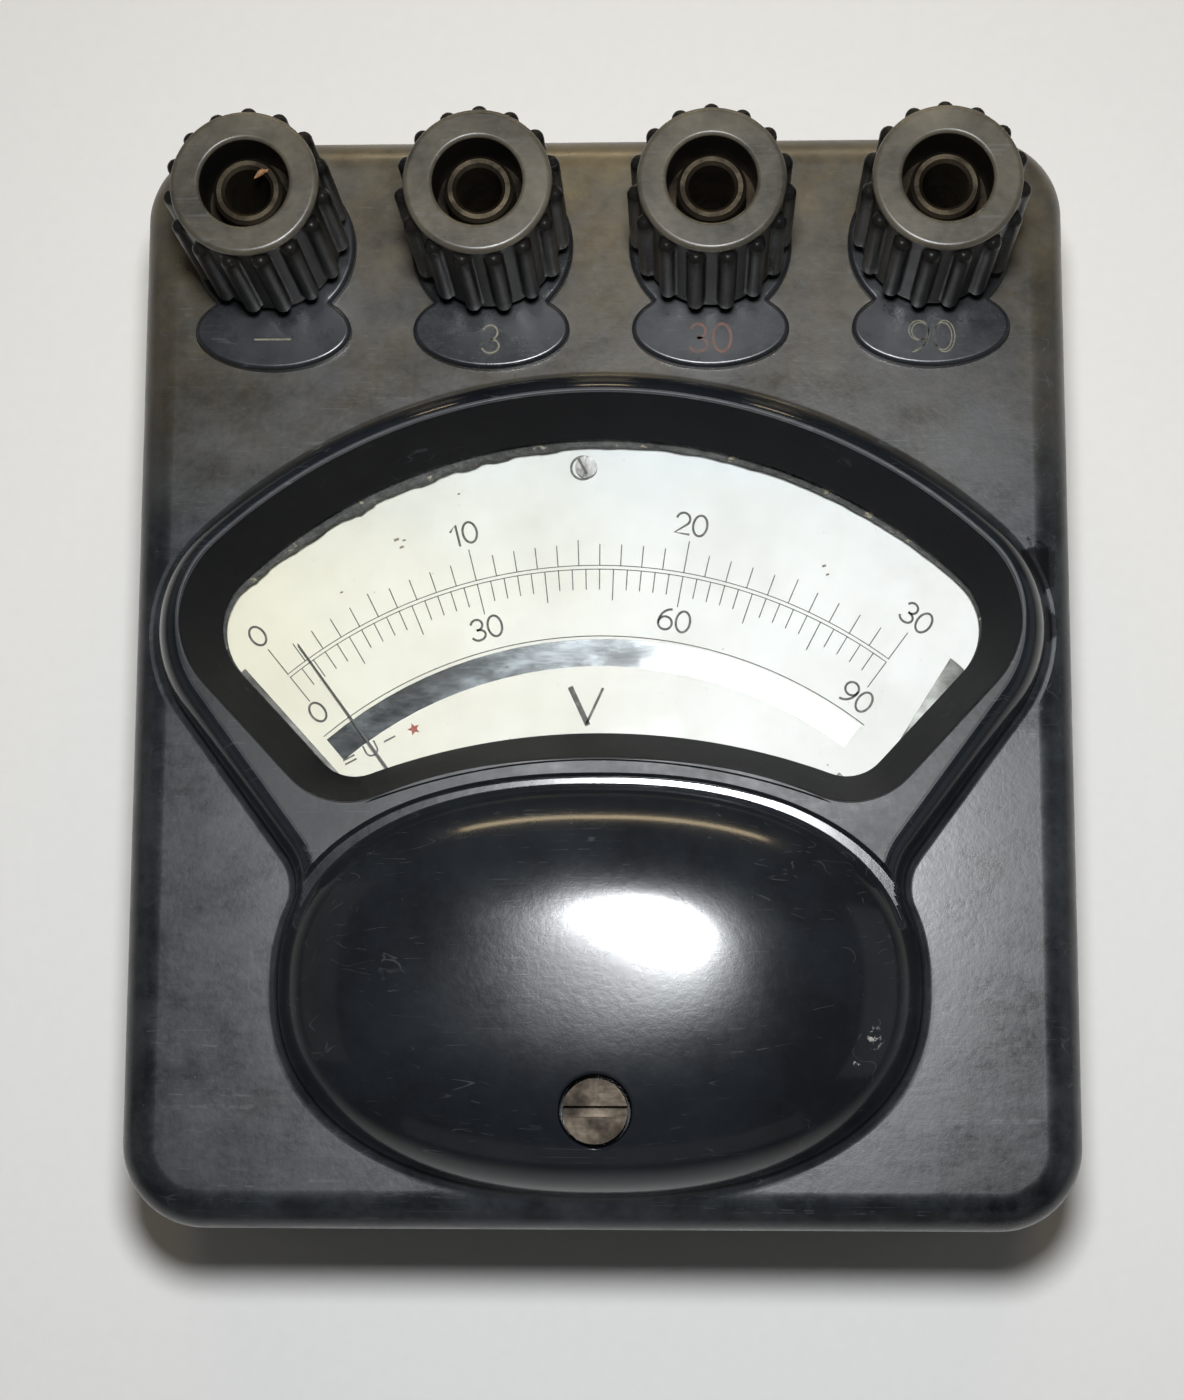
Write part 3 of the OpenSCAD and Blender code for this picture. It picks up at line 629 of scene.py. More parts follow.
def glass_material():
    """Window glass: clear to light and shadow, glossier at grazing angles, with dust and smears."""
    m = Material("window_glass", Base_Color=(0.5, 0.5, 0.48, 1.0), Roughness=0.5)
    clear = m.node("BsdfTransparent", {"Color": (0.98, 0.985, 0.98, 1.0)})
    gloss = m.node("BsdfGlossy")
    smear = m.noise(7.0, 4.0, 0.65, move=(5, 2, 1))
    m.link(m.plus(m.times(m.span(smear, 0.4, 0.7), 0.06), 0.015), gloss.inputs["Roughness"])
    ripple = m.node("Bump", {"Strength": 0.15, "Distance": 0.05 * MM})
    m.link(m.noise(20.0, 2.0, 0.5), ripple.inputs["Height"])
    m.link(ripple.outputs["Normal"], gloss.inputs["Normal"])
    facing = m.node("LayerWeight", {"Blend": 0.5})
    edge = m.math("POWER", facing.outputs["Facing"], 5.0)
    body = m.blend(m.plus(m.times(edge, 0.9), 0.04), clear, gloss)
    patches = m.noise(6.0, 4.0, 0.7, move=(9, 1, 3))
    dust = m.flecks(m.cells(1.3, (2, 2, 5)), 0.02, 0.05, patches, 0.5, 0.6)
    haze = m.times(m.span(smear, 0.45, 0.75), 0.035)
    dirt = m.plus(m.times(dust, 0.5), haze)
    whole = m.blend(dirt, body, m.shader)
    m.link(whole.outputs[0], m.tree.nodes["Material Output"].inputs["Surface"])
    return m.material


def putty_material():
    m = Material("putty", Roughness=0.85)
    lumps = m.noise(0.7, 4.0, 0.7)
    base = m.mix(m.rise(lumps, 0.35, 0.65), (0.03, 0.03, 0.03), (0.12, 0.12, 0.115))
    chips = m.rise(m.noise(1.6, 3.0, 0.75, move=(5, 5, 5)), 0.60, 0.66)
    m.set(Base_Color=m.mix(chips, base, (0.42, 0.36, 0.26)))
    m.bump(lumps, 0.15, 0.8)
    return m.material


def plain_material(name, light, dark, rough, size=1.2, depth=0.02):
    m = Material(name, Roughness=rough)
    grain = m.noise(size, 4.0, 0.65)
    m.set(Base_Color=m.mix(m.rise(grain, 0.3, 0.7), dark, light))
    m.bump(grain, depth, 0.5)
    return m.material


STAIN = np.array([38.3, 8.5, TOP])  # dark spill beside the window
CHIPS = (((24.2, -33.5), 1.3), ((22.3, -35.4), 0.5), ((12.4, -38.6), 0.8))  # place and size on the dome
CASE_MATT = moulding_material(
    "case_matt", (0.004, 0.005, 0.006), (0.016, 0.019, 0.024), 0.20, 0.46, 0.50, 0.48, film=0.9)
CASE_DULL = moulding_material(
    "case_dull", (0.006, 0.006, 0.007), (0.009, 0.009, 0.010), 0.40, 0.55, 0.62, 0.58, 0.06)
CASE_WORN = moulding_material(
    "case_worn", (0.009, 0.010, 0.012), (0.026, 0.028, 0.031), 0.30, 0.50, 0.48, 0.40, 0.28)
CASE_GLOSS = moulding_material(
    "case_gloss", (0.007, 0.008, 0.010), (0.014, 0.017, 0.021), 0.16, 0.29, 0.56, 0.50, 0.17,
    sheen=0.5, chips=CHIPS)
KNOB_SIDE = moulding_material(
    "knob_side", (0.006, 0.006, 0.006), (0.012, 0.010, 0.008), 0.28, 0.46, 0.46, 0.55, 0.14)
KNOB_FACE = moulding_material(
    "knob_face", (0.032, 0.029, 0.023), (0.115, 0.098, 0.068), 0.26, 0.48, 0.42, 0.44)
LABEL = moulding_material(
    "label_moulding", (0.010, 0.011, 0.013), (0.020, 0.022, 0.025), 0.20, 0.38, 0.55, 0.52)
INK = ink_material("dial_ink", (0.075, 0.07, 0.06), (0.22, 0.21, 0.18))
RED_INK = ink_material("red_ink", (0.36, 0.06, 0.035), (0.55, 0.25, 0.18))
SPOT = ink_material("brown_spot", (0.16, 0.12, 0.07), (0.42, 0.36, 0.25))
CRUMB = plain_material("crumb", (0.34, 0.17, 0.07), (0.14, 0.07, 0.03), 0.8, 0.4, 0.05)
PALE_PAINT = ink_material("pale_engraving", (0.20, 0.18, 0.12), (0.06, 0.055, 0.045))
RED_PAINT = ink_material("red_engraving", (0.13, 0.055, 0.035), (0.045, 0.030, 0.025))
# light and dark colour, lowest and highest roughness, direction of the grain, start of the grime
METALS = {
    "dial_metal": ((0.16, 0.16, 0.155), (0.06, 0.057, 0.05), 0.34, 0.50, 47),
    "brass": ((0.17, 0.115, 0.06), (0.05, 0.036, 0.024), 0.38, 0.62, 0, 0.40),
    "socket_brass": ((0.13, 0.105, 0.07), (0.035, 0.028, 0.02), 0.38, 0.62, 0, 0.38),
    "steel": ((0.48, 0.48, 0.49), (0.17, 0.16, 0.15), 0.28, 0.50),
    "spring_bronze": ((0.70, 0.55, 0.32), (0.35, 0.25, 0.14), 0.25, 0.4),
    "copper": ((0.62, 0.30, 0.16), (0.26, 0.11, 0.06), 0.25, 0.45, 90),
}
# light and dark colour, roughness, size and depth of the grain
PLAIN = {
    "magnet_paint": ((0.30, 0.06, 0.045), (0.16, 0.03, 0.025), 0.4),
    "hard_paper": ((0.38, 0.22, 0.10), (0.22, 0.12, 0.05), 0.55, 0.5),
    "ceramic": ((0.82, 0.80, 0.74), (0.66, 0.63, 0.56), 0.35, 2.0, 0.01),
    "pointer_paint": ((0.03, 0.03, 0.03), (0.012, 0.012, 0.012), 0.45, 0.4),
}
CAD_MATERIALS = {
    "window_glass": glass_material(),
    "putty": putty_material(),
    "dial_card": card_material(),
    "mirror": mirror_material(),
    "case_moulding": CASE_MATT,
    "knob_moulding": KNOB_SIDE,
    "label_moulding": LABEL,
}
CAD_MATERIALS.update((name, metal_material(name, *look)) for name, look in METALS.items())
CAD_MATERIALS.update((name, plain_material(name, *look)) for name, look in PLAIN.items())
GRIMY = metal_material("grimy_brass", (0.045, 0.034, 0.022), (0.012, 0.010, 0.008), 0.45, 0.65, 0, 0.42)
WORN = metal_material("worn_brass", (0.062, 0.050, 0.038), (0.025, 0.021, 0.017), 0.36, 0.60, 12, 0.44)
for sub in frame["record"]["subparts"]:
    node = sub["node"]
    special = GRIMY if node.startswith("insert_") else WORN if node == "zero_screw" else None
    for holder in frame["nodes"][node].material_slots:
        holder.material = special or CAD_MATERIALS[sub["material_slot"]]


# ---------- the cover ----------
def window_profile():
    """From the rim's flat over the narrow ridge and down the bevel to the glass."""
    turn = atan2(RIM - GLASS, BEVEL)
    ridge_r = 0.3
    out, up = -sin(turn), cos(turn)
    rows = [(0.0, GLASS - 0.05, out, up), (0.0, GLASS, out, up)]
    rows += [(BEVEL * t, GLASS + (RIM - GLASS) * t, out, up) for t in (0.3, 0.6)]
    centre = BEVEL + ridge_r * tan(turn / 2)
    for a in np.linspace(turn, 0, 7):
        lean, rise = sin(a), cos(a)
        rows.append((centre - ridge_r * lean, RIM - ridge_r + ridge_r * rise, -lean, rise))
    return [(centre + 0.15, RIM, 0.0, 1.0)] + rows[::-1]


MATT, GLOSSY, DULL, RUBBED = range(4)  # places in the cover's list of materials
NEAR_TOP = 0.3  # faces lower than this over the flat top are matt like it
HOLE_PATCH_R = 4.3  # inside it the faces round the zero screw's hole take over from the dome's


def low_matt(corners, rubbed):
    if max(c[2] for c in corners) < TOP + NEAR_TOP:
        return MATT
    return RUBBED if rubbed else GLOSSY


def wall_finish(corners):
    return low_matt(corners, min(c[2] for c in corners) > RIM - 0.06)


def dome_finish(corners):
    return low_matt(corners, all(dome_rho(c[0], c[1])[0] > 0.99 for c in corners))


def outside_dome(corners):
    return any(dome_rho(c[0], c[1])[0] > 1.003 for c in corners)


def beside_rim(c):
    """Past the rim's rounded side, or where the foot line has no rim."""
    near, index, _ = foot_tree.find((c[0], c[1], 0.0))
    inside = (np.array(near)[:2] - c[:2]) @ FOOT_LINE.normals[index]
    return inside > 2.1 or FOOT_LINE.weights[index] < 0.03


def on_dome(corners):
    outside = all(dome_rho(c[0], c[1])[0] > 1.0045 for c in corners)
    if outside and not any(beside_rim(c) for c in corners):
        return False
    return all(np.hypot(*(c[:2] - ZERO_AT)) > HOLE_PATCH_R for c in corners)


def add_rim(shape):
    """The bevel, the ridge and the outer side of the rim."""
    profile = window_profile()
    ridge_row = 5  # where the ridge gives way to the bevel
    shape.sweep(WINDOW, profile[:ridge_row + 1], RUBBED)
    shape.sweep(WINDOW, profile[ridge_row:], DULL)
    rimmed = np.nonzero(FOOT_LINE.weights > 0.02)[0]
    part = Outline(FOOT_LINE.points[rimmed], FOOT_LINE.normals[rimmed])
    # distances inside the foot line
    depths = [-1.2, -0.9, -0.75, -0.6, -0.45, -0.3, -0.18, -0.08, -0.02, 0.0, 0.01, 0.03, 0.07, 0.13,
              0.21, 0.32, 0.46, 0.64, 0.86, 1.12, 1.42, 1.75, 2.1, 2.4]
    rows, normals = zip(*(moulded(part.offset(-d)) for d in depths))
    shape.rows(rows, normals, False, wall_finish, outside_dome)


def add_dome(shape):
    """The dome, from the flat top and the groove up."""
    # fractions of the dome's outline
    radii = [1.07, 1.055, 1.042, 1.031, 1.022, 1.014, 1.008, 1.003, 1.0, 0.997, 0.993, 0.988, 0.982,
             0.975, 0.967, 0.958, 0.948, 0.936, 0.922, 0.905, 0.885, 0.862, 0.835, 0.80, 0.76, 0.71,
             0.65, 0.58, 0.50, 0.41, 0.31, 0.20, 0.09, 0.0]
    angles = turn_in(420)
    rows, normals = zip(*(moulded([dome_point(a, r) for a in angles]) for r in radii))
    shape.rows(rows, normals, True, dome_finish, on_dome)


def add_zero_hole(shape):
    """The hole for the zero screw, with a rounded lip."""
    ring = circle(96)
    hole_r = 3.0
    floor = node_box("zero_screw")[1][2] - 2.6
    rows, normals = [], []
    for r, drop in ((6.0, 0), (5.5, 0), (5.0, 0), (4.5, 0), (4.1, 0), (3.7, 0), (3.4, 0), (3.25, 0.012),
                    (3.12, 0.05), (3.03, 0.13), (hole_r, 0.25)):
        points, normal = moulded(ZERO_AT + r * ring, 0.004)
        points[:, 2] -= drop
        lean = smooth((3.35 - r) / 0.35)
        normal = (1 - lean) * normal - lean * np.c_[ring, np.zeros(len(ring))]
        rows.append(points)
        normals.append(normal / np.linalg.norm(normal, axis=1)[:, None])
    rows.append(np.c_[ZERO_AT + hole_r * ring, np.full(len(ring), floor)])
    normals.append(np.c_[-ring, np.zeros(len(ring))])
    shape.rows(rows, normals, True, GLOSSY)
    flat_up = np.tile([0.0, 0.0, 1.0], (len(ring), 1))
    rows = [np.c_[ZERO_AT + r * ring, np.full(len(ring), floor)] for r in (hole_r, 1.6)]
    shape.rows(rows, [flat_up] * 2, True, GLOSSY)


def add_flats(shape):
    """The flats of the rim and of the case, and the sides and foot of the case."""
    # flat of the rim, between the window's ridge, the rolled side and the dome
    full = FOOT_LINE.weights > 0.999
    edge = [p for p, ok in zip(FOOT_LINE.offset(-2.15), full) if ok and dome_rho(*p)[0] > 1.004]
    start, end = edge[-1], edge[0]
    dome_arc = [dome_point(a, 1.004) for a in np.linspace(pi, 0, 400)]
    dome_arc = [p for p in dome_arc if start[0] < p[0] < end[0]]
    shape.cap([edge + dome_arc, WINDOW.offset(BEVEL + 0.22)], RIM - 0.01, RUBBED)

    # flat top of the case, its rounded edge, its sides and the foot they stand on
    level = TOP - 0.004  # just under the lowest row of the moulding
    holes = [[node_centre("stud_" + p) + STUD_HOLE_R * u for u in circle(32)] for p in POSTS]
    standing = FOOT_LINE.offset(0.88)
    standing[:, 1] = np.maximum(standing[:, 1], CASE_LO[1] + EDGE_R + 0.1)
    shape.cap([CASE.offset(-EDGE_R), standing] + holes, level, MATT)
    profile = [(0.0, 8.0, 1, 0), (0.0, TOP - EDGE_R - 0.5, 1, 0)] + rounded(EDGE_R, level, 12)
    foot = [(-2.5, 6.0, -1, 0), (-2.5, 0.3, -1, 0), (-2.2, 0.0, 0, -1), (-0.4, 0.0, 0, -1),
            (-0.12, 0.12, 0.7, -0.7), (0.0, 0.4, 1, 0)]
    shape.sweep(CASE, foot + profile, MATT)


def build_cover():
    shape = Shape()
    for add in (add_rim, add_dome, add_zero_hole, add_flats):
        add(shape)
    finishes = [CASE_MATT, CASE_GLOSS, CASE_DULL, CASE_WORN]
    piece("cover_shell", shape, finishes, replaces=["cover"])


# ---------- knobs ----------
def build_knob(post):
    lo, hi = node_box("head_" + post)
    bottom, top = lo[2], hi[2]
    core_r, face_round, hole_r, lip_r = 6.4, 0.5, 3.875, 0.35
    ribs, rib_r, rib_at = 15, 0.78, 6.5
    floor = node_box("insert_" + post)[1][2]
    rib_low, rib_high = bottom + 0.5, top - 1.15
    heights = [bottom + 0.15, bottom + 0.35]
    climb = (0, 0.03, 0.08, 0.16, 0.27, 0.4, 0.56, 0.78)
    heights += [rib_low + t for t in climb]
    heights += list(np.linspace(rib_low + 2.5, rib_high - 2.5, 5))
    heights += [rib_high - t for t in climb[::-1]]
    heights += [top - 0.85, top - face_round - 0.05]
    per_rib = 22
    angles = turn_in(ribs * per_rib) + pi / 2

    def rib(angle, z):
        turn = (angle - pi / 2 + pi / ribs) % (2 * pi / ribs) - pi / ribs
        end = min(z - rib_low, rib_high - z)
        if end <= 0:
            return core_r
        r = rib_r if end >= rib_r else sqrt(rib_r**2 - (rib_r - end) ** 2)
        side = rib_at * sin(turn)
        if abs(side) >= r:
            return core_r
        return max(core_r, rib_at * cos(turn) + sqrt(r * r - side * side))

    side, face = 0, 1
    shape = Shape()
    rows = [[(*((core_r - 0.2) * unit(a)), bottom) for a in angles]]
    rows += [[(*(rib(a, z) * unit(a)), z) for a in angles] for z in heights]
    shape.rows(rows, None, True, side)
    ring = Outline([unit(a) * core_r for a in angles], [unit(a) for a in angles])
    profile = [(0.0, top - face_round - 0.05, 1, 0)] + rounded(face_round, top)
    shape.sweep(ring, profile, face)
    hole = hole_r - core_r
    lip = [(-face_round, top, 0, 1), (hole + 0.55, top, 0, 1)]
    for a in np.radians([0, 20, 40, 60, 75, 90]):
        lean, rise = sin(a), cos(a)
        lip.append((hole + lip_r * (1 - lean), top - lip_r + lip_r * rise, -lean, rise))
    shape.sweep(ring, lip, face)
    shape.sweep(ring, [(hole, top - lip_r, -1, 0), (hole, floor + 0.02, -1, 0)], side)
    piece("knob_" + post, shape, [KNOB_SIDE, KNOB_FACE], "knob_" + post,
          ["head_" + post], node_centre("stud_" + post))


# ---------- drawn strokes ----------
def ribbon(shape, path, width, z, finish=0, shut=False):
    """A flat stroke of even width along plan points."""
    path = [np.array(p, float) for p in path]
    left, right = [], []
    count = len(path)
    for i, p in enumerate(path):
        before = path[i - 1] if i or shut else p
        after = path[(i + 1) % count] if i < count - 1 or shut else p
        run = after - before
        run /= np.hypot(*run) or 1.0
        across = np.array([-run[1], run[0]]) * width / 2
        tip = run * width / 2 if not shut and i in (0, count - 1) else 0.0
        p = p + (tip if i else -tip)
        left.append((*(p + across), z))
        right.append((*(p - across), z))
    up = [[(0.0, 0.0, 1.0)] * count] * 2
    shape.rows([right, left], up, shut, finish)


def arc_path(cx, cy, rx, ry, start, end, count=18):
    angles = np.radians(np.linspace(start, end, count))
    return [(cx + rx * cos(a), cy + ry * sin(a)) for a in angles]


def ring_path(cx, cy, rx, ry, count=26):
    return arc_path(cx, cy, rx, ry, 90, 450, count)


# width and strokes of each figure, for a height of 1
GLYPHS = {
    "0": (0.70, [ring_path(0.35, 0.5, 0.33, 0.5, 30)]),
    "1": (0.42, [[(0.02, 0.74), (0.30, 1.0), (0.30, 0.0)]]),
    "2": (0.70, [arc_path(0.345, 0.69, 0.31, 0.31, 165, -38) + [(0.03, 0.0), (0.68, 0.0)]]),
    "3": (0.68, [arc_path(0.32, 0.745, 0.27, 0.255, 155, -90), arc_path(0.32, 0.25, 0.32, 0.25, 90, -155)]),
    "6": (0.70, [ring_path(0.345, 0.31, 0.32, 0.31), arc_path(0.62, 0.33, 0.595, 0.67, 98, 182)]),
    "9": (0.70, [ring_path(0.355, 0.69, 0.32, 0.31), arc_path(0.08, 0.67, 0.595, 0.67, -82, 2)]),
}


def write(shape, text, centre, height, stroke, z, turn=0.0, finish=0, gap=0.12, squeeze=1.0):
    """Numbers drawn as strokes, centred on a point and turned in degrees."""
    figures = [GLYPHS[c] for c in text]
    x = -(sum(wide for wide, _ in figures) + gap * (len(text) - 1)) / 2
    c, s = unit(radians(turn))
    spin = np.array([[c, -s], [s, c]])
    for wide, paths in figures:
        for path in paths:
            flat = [np.array([(x + px) * squeeze, py - 0.5]) * height for px, py in path]
            placed = [np.array(centre) + spin @ p for p in flat]
            shut = np.hypot(*(placed[0] - placed[-1])) < 1e-6
            ribbon(shape, placed[:-1] if shut else placed, stroke, z, finish, shut)
        x += wide + gap


# ---------- dial ----------
SCALE_AT = np.array([-0.47, -34.85])  # centre of the printed scale
SCALE_R = 44.53
SCALE_GAP = 0.36  # between the two lines of the scale
SCALE_BEARINGS = (-39.2, -14.31, 10.3, 36.5)  # of 0, 10, 20 and 30, clockwise from +Y


def scale_bearing(value):
    """Bearing of a reading from 0 to 30, on the cubic through the four numbered ticks."""
    total = 0.0
    for i, known in enumerate(SCALE_BEARINGS):
        term = known
        for j in range(4):
            if j != i:
                term *= (value - 10 * j) / (10 * (i - j))
        total += term
    return total


def on_scale(radius, bearing_deg):
    a = radians(bearing_deg)
    return SCALE_AT + radius * np.array([sin(a), cos(a)])


DIAL_SCREW_AT = np.array([-1.77, 19.02])
PRINT_LIFT = 0.012  # strokes lie this far above the card
LONG, MIDDLE, SHORT = 2.95, 2.35, 1.95  # ticks of the upper scale
LOWER_LONG, LOWER_SHORT = 2.85, 1.85
LINE = 0.10  # width of a thin stroke


def build_print():
    """Everything printed on the card, its right margin, painted shade round the dial screw, and dirt spots
    on the card.
    """
    shape = Shape()
    z = DIAL + PRINT_LIFT
    black, red, spot, card = 0, 1, 2, 3
    lines = np.linspace(SCALE_BEARINGS[0], SCALE_BEARINGS[-1], 120)
    upper, lower = SCALE_R + SCALE_GAP / 2, SCALE_R - SCALE_GAP / 2
    for radius in (upper, lower):
        ribbon(shape, [on_scale(radius, b) for b in lines], 0.085, z, black)
    for value in range(31):
        length = SHORT if value % 5 else MIDDLE if value % 10 else LONG
        b = scale_bearing(value)
        ribbon(shape, [on_scale(upper, b), on_scale(upper + length, b)], LINE, z, black)
    for value in range(0, 91, 2):
        length = LOWER_SHORT if value % 10 else LOWER_LONG
        b = scale_bearing(value / 3)
        ribbon(shape, [on_scale(lower, b), on_scale(lower - length, b)], LINE, z, black)
    mirror_at, mirror_r = PIVOT + np.array([-0.14, 0]), 38.88
    edge_of_mirror = [mirror_at + mirror_r * np.array([sin(a), cos(a)])
                      for a in np.radians(np.linspace(-40.3, 38.0, 120))]
    ribbon(shape, edge_of_mirror, LINE, z, black)
    for text, x, y in (("0", -31.6, 3.35), ("10", -12.69, 12.87), ("20", 8.26, 13.65), ("30", 28.75, 4.86),
                       ("0", -25.92, -3.71), ("30", -10.53, 4.05), ("60", 6.66, 4.70), ("90", 23.22, -2.41)):
        turn = degrees(atan2(x - SCALE_AT[0], y - SCALE_AT[1]))
        write(shape, text, (x, y), 1.95, 0.22, z, -turn, black)

    # the unit sign: a heavy and a light stroke
    unit_at, tall = np.array([-1.31, -3.2]), 3.1
    corners = [unit_at + tall * np.array(p) for p in ((-0.46, 0.5), (0.0, -0.5), (0.46, 0.5))]
    ribbon(shape, corners[:2], 0.50, z, black)
    ribbon(shape, corners[1:], 0.24, z, black)

    # test mark
    star, tilt = np.array([-17.09, -5.29]), radians(24)
    rays = [star + (0.27 if i % 2 else 0.62) * unit(pi / 2 + tilt + i * pi / 5) for i in range(10)]
    shape.cap([rays], z, red)

    # on the right the card reaches further under the window's edge, most at the bottom
    margin = [PIVOT + r * unit(radians(90 - b))
              for r, b in ((34, 39.3), (34, 44.6), (48.56, 40.8), (48.56, 39.3))]
    shape.cap([margin], DIAL, card)

    # painted shade round the dial screw's head and along its slot, and a few dark spots on the card
    ribbon(shape, DIAL_SCREW_AT + 1.08 * circle(36), 0.22, z, black, True)
    half_slot = 0.72 * unit(radians(118))
    screw_top = node_box("dial_screws")[1][2]
    ribbon(shape, [DIAL_SCREW_AT - half_slot, DIAL_SCREW_AT + half_slot], 0.26, screw_top + 0.01, black)
    for x, y, size in ((-18.9, 12.3, 0.16), (-18.2, 12.25, 0.10), (-18.4, 11.6, 0.13), (-23.9, 7.4, 0.09),
                       (20.4, 9.7, 0.12), (20.7, 8.9, 0.10), (-13.2, 16.6, 0.09), (-8.6, 0.4, 0.08)):
        ribbon(shape, [(x - size, y), (x + size * 0.4, y + size * 0.5)], size * 1.6, z, spot)

    # signs for direct current and the moving-coil movement
    along = unit(radians(28))
    across = np.array([-along[1], along[0]])

    def sign(at, path):
        ribbon(shape, [np.array(at) + p[0] * along + p[1] * across for p in path], 0.16, z, black)

    sign((-19.3, -6.2), [(-0.5, 0), (0.5, 0)])
    bow = arc_path(0, -0.15, 0.55, 0.5, 180, 360, 9)
    sign((-21.0, -7.1), [(-0.55, 0.5), (-0.55, -0.15)] + bow + [(0.55, 0.5)])
    for side in (0.2, -0.2):
        sign((-22.9, -8.1), [(-0.5, side), (0.5, side)])
    piece("dial_print", shape, [INK, RED_INK, SPOT, CAD_MATERIALS["dial_card"]])


def build_putty():
    """Ragged bead of cement under the glass: wide along the top, a thread elsewhere."""
    shape = Shape()
    base, under = DIAL + 1.0, GLASS - 1.25
    count = len(WINDOW.points)
    waves = [(DICE.uniform(8, 150), DICE.uniform(0, 6.28), DICE.uniform(0.3, 1.0)) for _ in range(34)]
    reach, lift = [], []
    for i, (x, y) in enumerate(WINDOW.points):
        t = 2 * pi * i / count
        rough = sum(a * sin(round(f) * t + p) for f, p, a in waves) / 4.5
        top = smooth((y - 4) / 12)
        left = smooth((-x + 5) / 25)
        lump = max(0.0, rough) ** 2
        reach.append(0.05 + top * (0.13 + 0.30 * left + (0.12 + 0.75 * left) * lump + 0.14 * DICE.random()))
        lift.append(0.12 * DICE.random())
    reach, lift = sum(np.roll(reach, i) for i in range(-2, 3)) / 5, np.array(lift)
    inward = reach[:, None] * WINDOW.normals
    plan = [WINDOW.offset(1.9), WINDOW.points - 0.8 * inward, WINDOW.points - inward,
            WINDOW.points - 0.5 * inward, WINDOW.offset(0.6), WINDOW.offset(1.9)]
    levels = [base + 0 * lift, base + lift, under - 0.45 - 2 * lift, under - 0.05 - lift,
              under + 0 * lift, under + 0 * lift]
    shape.rows([np.c_[p, z] for p, z in zip(plan, levels)])
    piece("glazing_cement", shape, [CAD_MATERIALS["putty"]], replaces=["glass_putty"])


# ---------- label plates ----------
def build_label(post):
    lo, hi = node_box("label_" + post)
    low, top = lo[2], hi[2]
    ring_r, tab_a, tab_b, tab_y = 7.45, 7.15, 3.75, -7.9
    centre = np.array([0.0, -5.2])

    def reach(angle):
        """How far the plate goes from its centre: a disc under the knob joined to a lens-shaped tab."""
        u = unit(angle)
        b = centre @ u
        disc = b * b - (centre @ centre - ring_r**2)
        disc_part = -b + sqrt(disc)
        rel = centre - np.array([0.0, tab_y])
        qa = (u[0] / tab_a) ** 2 + (u[1] / tab_b) ** 2
        qb = rel[0] * u[0] / tab_a**2 + rel[1] * u[1] / tab_b**2
        qc = (rel[0] / tab_a) ** 2 + (rel[1] / tab_b) ** 2 - 1
        lens = (-qb + sqrt(max(0.0, qb * qb - qa * qc))) / qa
        return max(disc_part, lens)

    points = np.array([centre + reach(a) * unit(a) for a in turn_in(300)])
    run = np.roll(points, -1, 0) - np.roll(points, 1, 0)
    run /= np.hypot(run[:, 0], run[:, 1])[:, None]
    outline = Outline(points, np.c_[run[:, 1], -run[:, 0]])
    shape = Shape()
    edge = 0.45
    shape.sweep(outline, [(0, low, 1, 0), (0, top - edge, 1, 0)] + rounded(edge, top))
    hole = STUD_HOLE_R * circle(36)
    shape.cap([outline.offset(-edge), hole], top)
    piece("label_plate_" + post, shape, [LABEL], replaces=["label_" + post],
          at=node_centre("stud_" + post))

    marks = Shape()
    at, z = np.array([0.0, -8.95]), top + 0.015
    if post == "minus":
        ribbon(marks, [at + (-1.6, 0.1), at + (1.6, 0.1)], 0.16, z)
    elif post == "90":
        # the engraving's burr stands out on both sides of each stroke
        for d in (-0.16, 0.16):
            write(marks, post, at, 2.75 + 1.2 * d, 0.10, z, 0, 0, 0.14, 0.95)
    else:
        write(marks, post, at, 2.6, 0.17 if post == "3" else 0.26, z, 0, 0, 0.16, 0.95)
    paint = RED_PAINT if post == "30" else PALE_PAINT
    piece("engraving_" + post, marks, [paint], at=node_centre("stud_" + post))


def build_crumb():
    """A crumb of dirt caught on the rim of the left socket."""
    shape = Shape()
    top = node_box("stud_minus")[1][2]
    path = [(0.6, 1.0, 0.05), (0.85, 1.25, 0.22), (1.15, 1.5, 0.34), (1.4, 1.7, 0.28), (1.6, 1.65, 0.2),
            (1.8, 1.8, 0.05)]
    across = np.array([-0.62, 0.78])
    rows = []
    for x, y, size in path:
        ring = []
        for a in turn_in(10):
            r = size * DICE.uniform(0.7, 1.1)
            ring.append((*((x, y) + across * r * cos(a)), top + 0.25 + r * sin(a)))
        rows.append(ring)
    shape.rows(rows)
    piece("socket_crumb", shape, [CRUMB], at=node_centre("stud_minus"))


build_cover()
build_crumb()
for post in POSTS:
    build_knob(post)
    build_label(post)
build_print()
build_putty()


# ---------- camera, floor and light ----------
CAMERA_AT = np.array([7.947, -38.384, 266.117])
TURN_X, TURN_Y, TURN_Z = -0.149, 0.0365, -0.0018


def camera_axes():
    """World directions of the picture's right, down and forward."""
    spin = Matrix.Identity(3)
    for angle, axis in ((TURN_Z, "Z"), (TURN_Y, "Y"), (TURN_X, "X")):
        spin = spin @ Matrix.Rotation(angle, 3, axis)
    return spin @ Matrix(((1, 0, 0), (0, -1, 0), (0, 0, -1)))


camera_data = bpy.data.cameras.new("camera")
camera_data.lens = 68.0
camera_data.sensor_width = 36.0
camera_data.clip_start = 0.01
camera = bpy.data.objects.new("camera", camera_data)
bpy.context.scene.collection.objects.link(camera)
right, down, forward = camera_axes()
turn = Matrix((right, -down, -forward)).transposed()
camera.matrix_world = Matrix.Translation(CAMERA_AT * MM) @ turn.to_4x4()
bpy.context.scene.camera = camera


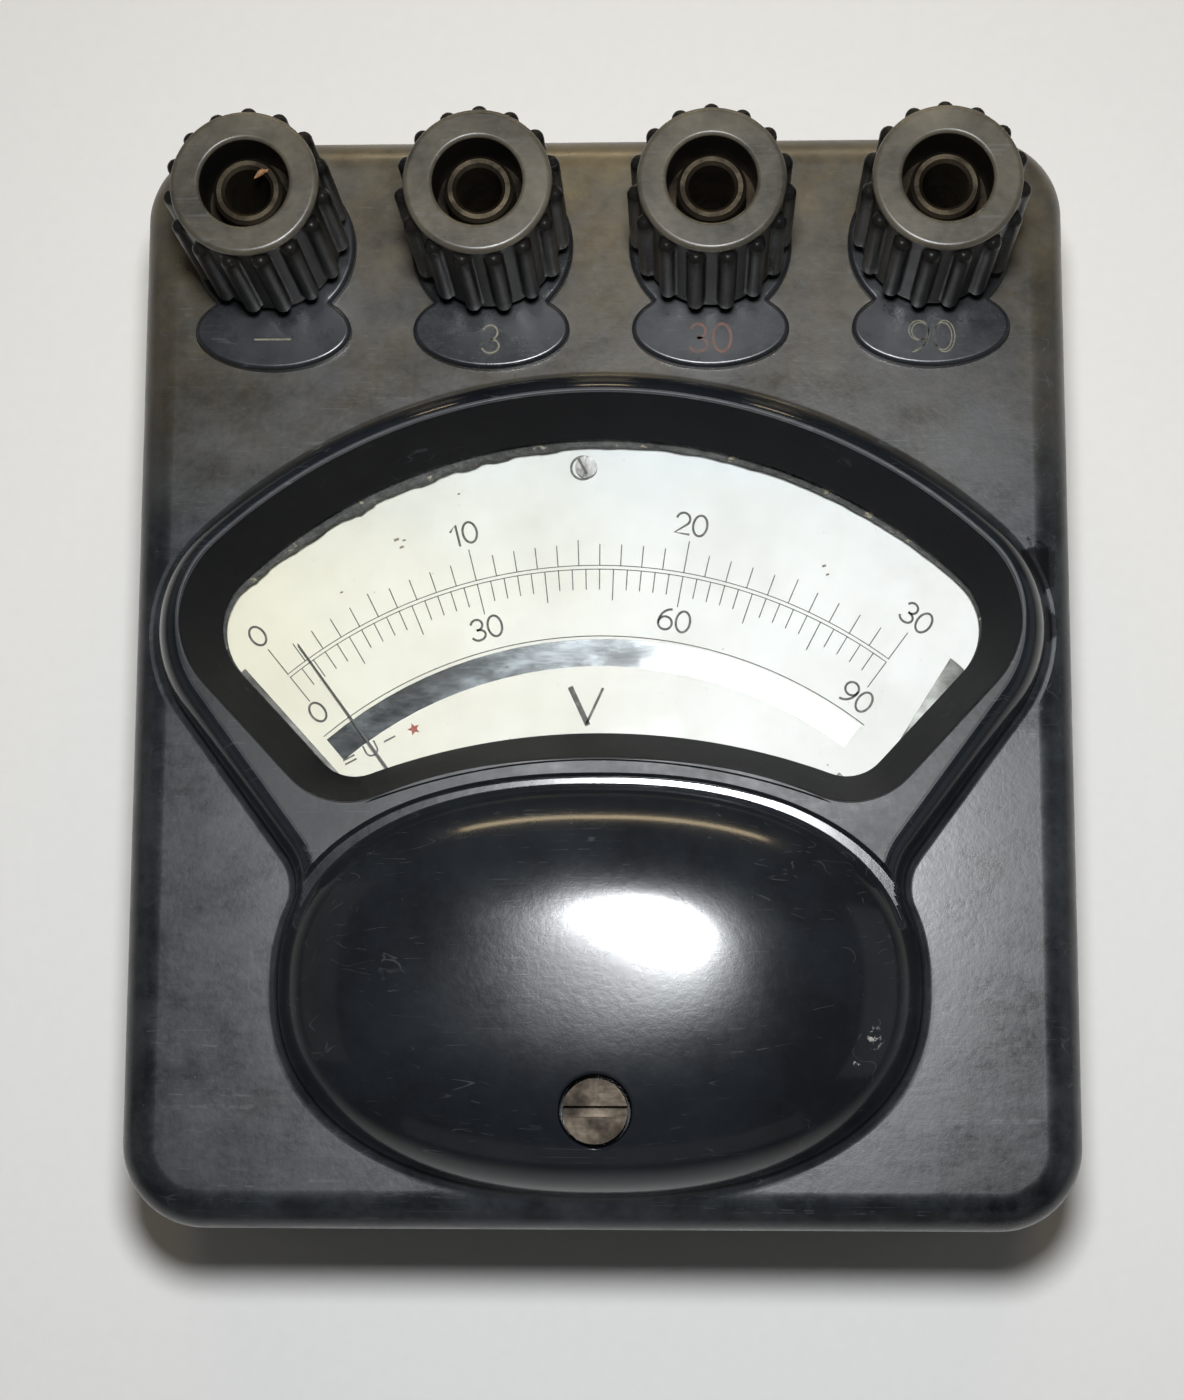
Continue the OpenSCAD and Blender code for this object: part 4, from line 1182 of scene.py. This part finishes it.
def area_light(name, at, target, size, power, colour):
    data = bpy.data.lights.new(name, "AREA")
    data.shape = "ELLIPSE" if name == "key" else "RECTANGLE"
    data.size, data.size_y = size[0] * MM, size[1] * MM
    data.energy = power
    data.color = colour
    obj = bpy.data.objects.new(name, data)
    bpy.context.scene.collection.objects.link(obj)
    aim = Vector(target) - Vector(at)
    obj.location = Vector(at) * MM
    obj.rotation_euler = aim.to_track_quat("-Z", "Y").to_euler()


FLASH_OVER_LENS = 46
MIDDLE_OF_CASE = (0, 0, 20)
flash_at = CAMERA_AT - FLASH_OVER_LENS * np.array(down)
area_light("key", flash_at, (0, 0, TOP), (36, 32), 0.72, (0.95, 0.975, 1.0))
area_light("left_box", (-640, 60, 260), MIDDLE_OF_CASE, (800, 420), 0.18, (1.0, 0.95, 0.86))
area_light("right_box", (660, -40, 260), MIDDLE_OF_CASE, (800, 420), 0.29, (0.92, 0.96, 1.0))
area_light("front_box", (0, -700, 240), MIDDLE_OF_CASE, (900, 300), 0.14, (1.0, 0.93, 0.84))
area_light("top_box", (20, 640, 290), MIDDLE_OF_CASE, (560, 60), 1.3, (1.0, 0.80, 0.50))

world = bpy.data.worlds.new("world")
world.use_nodes = True
sky = world.node_tree.nodes["Background"]
sky.inputs["Color"].default_value = (0.86, 0.88, 0.90, 1)
sky.inputs["Strength"].default_value = 0.045
bpy.context.scene.world = world
bpy.context.scene.view_settings.view_transform = "Standard"

floor_mesh = bpy.data.meshes.new("floor")
half = 3.0  # metres
corners = [(-half, -half, 0), (half, -half, 0), (half, half, 0), (-half, half, 0)]
floor_mesh.from_pydata(corners, [], [(0, 1, 2, 3)])
floor_material = Material("floor", Roughness=0.9)
grain = floor_material.noise(1.5, 3.0, 0.6)
floor_material.set(Base_Color=floor_material.mix(grain, (0.74, 0.73, 0.71), (0.78, 0.77, 0.75)))
floor_mesh.materials.append(floor_material.material)
floor = bpy.data.objects.new("floor", floor_mesh)
bpy.context.scene.collection.objects.link(floor)
floor.location.z = -0.0002
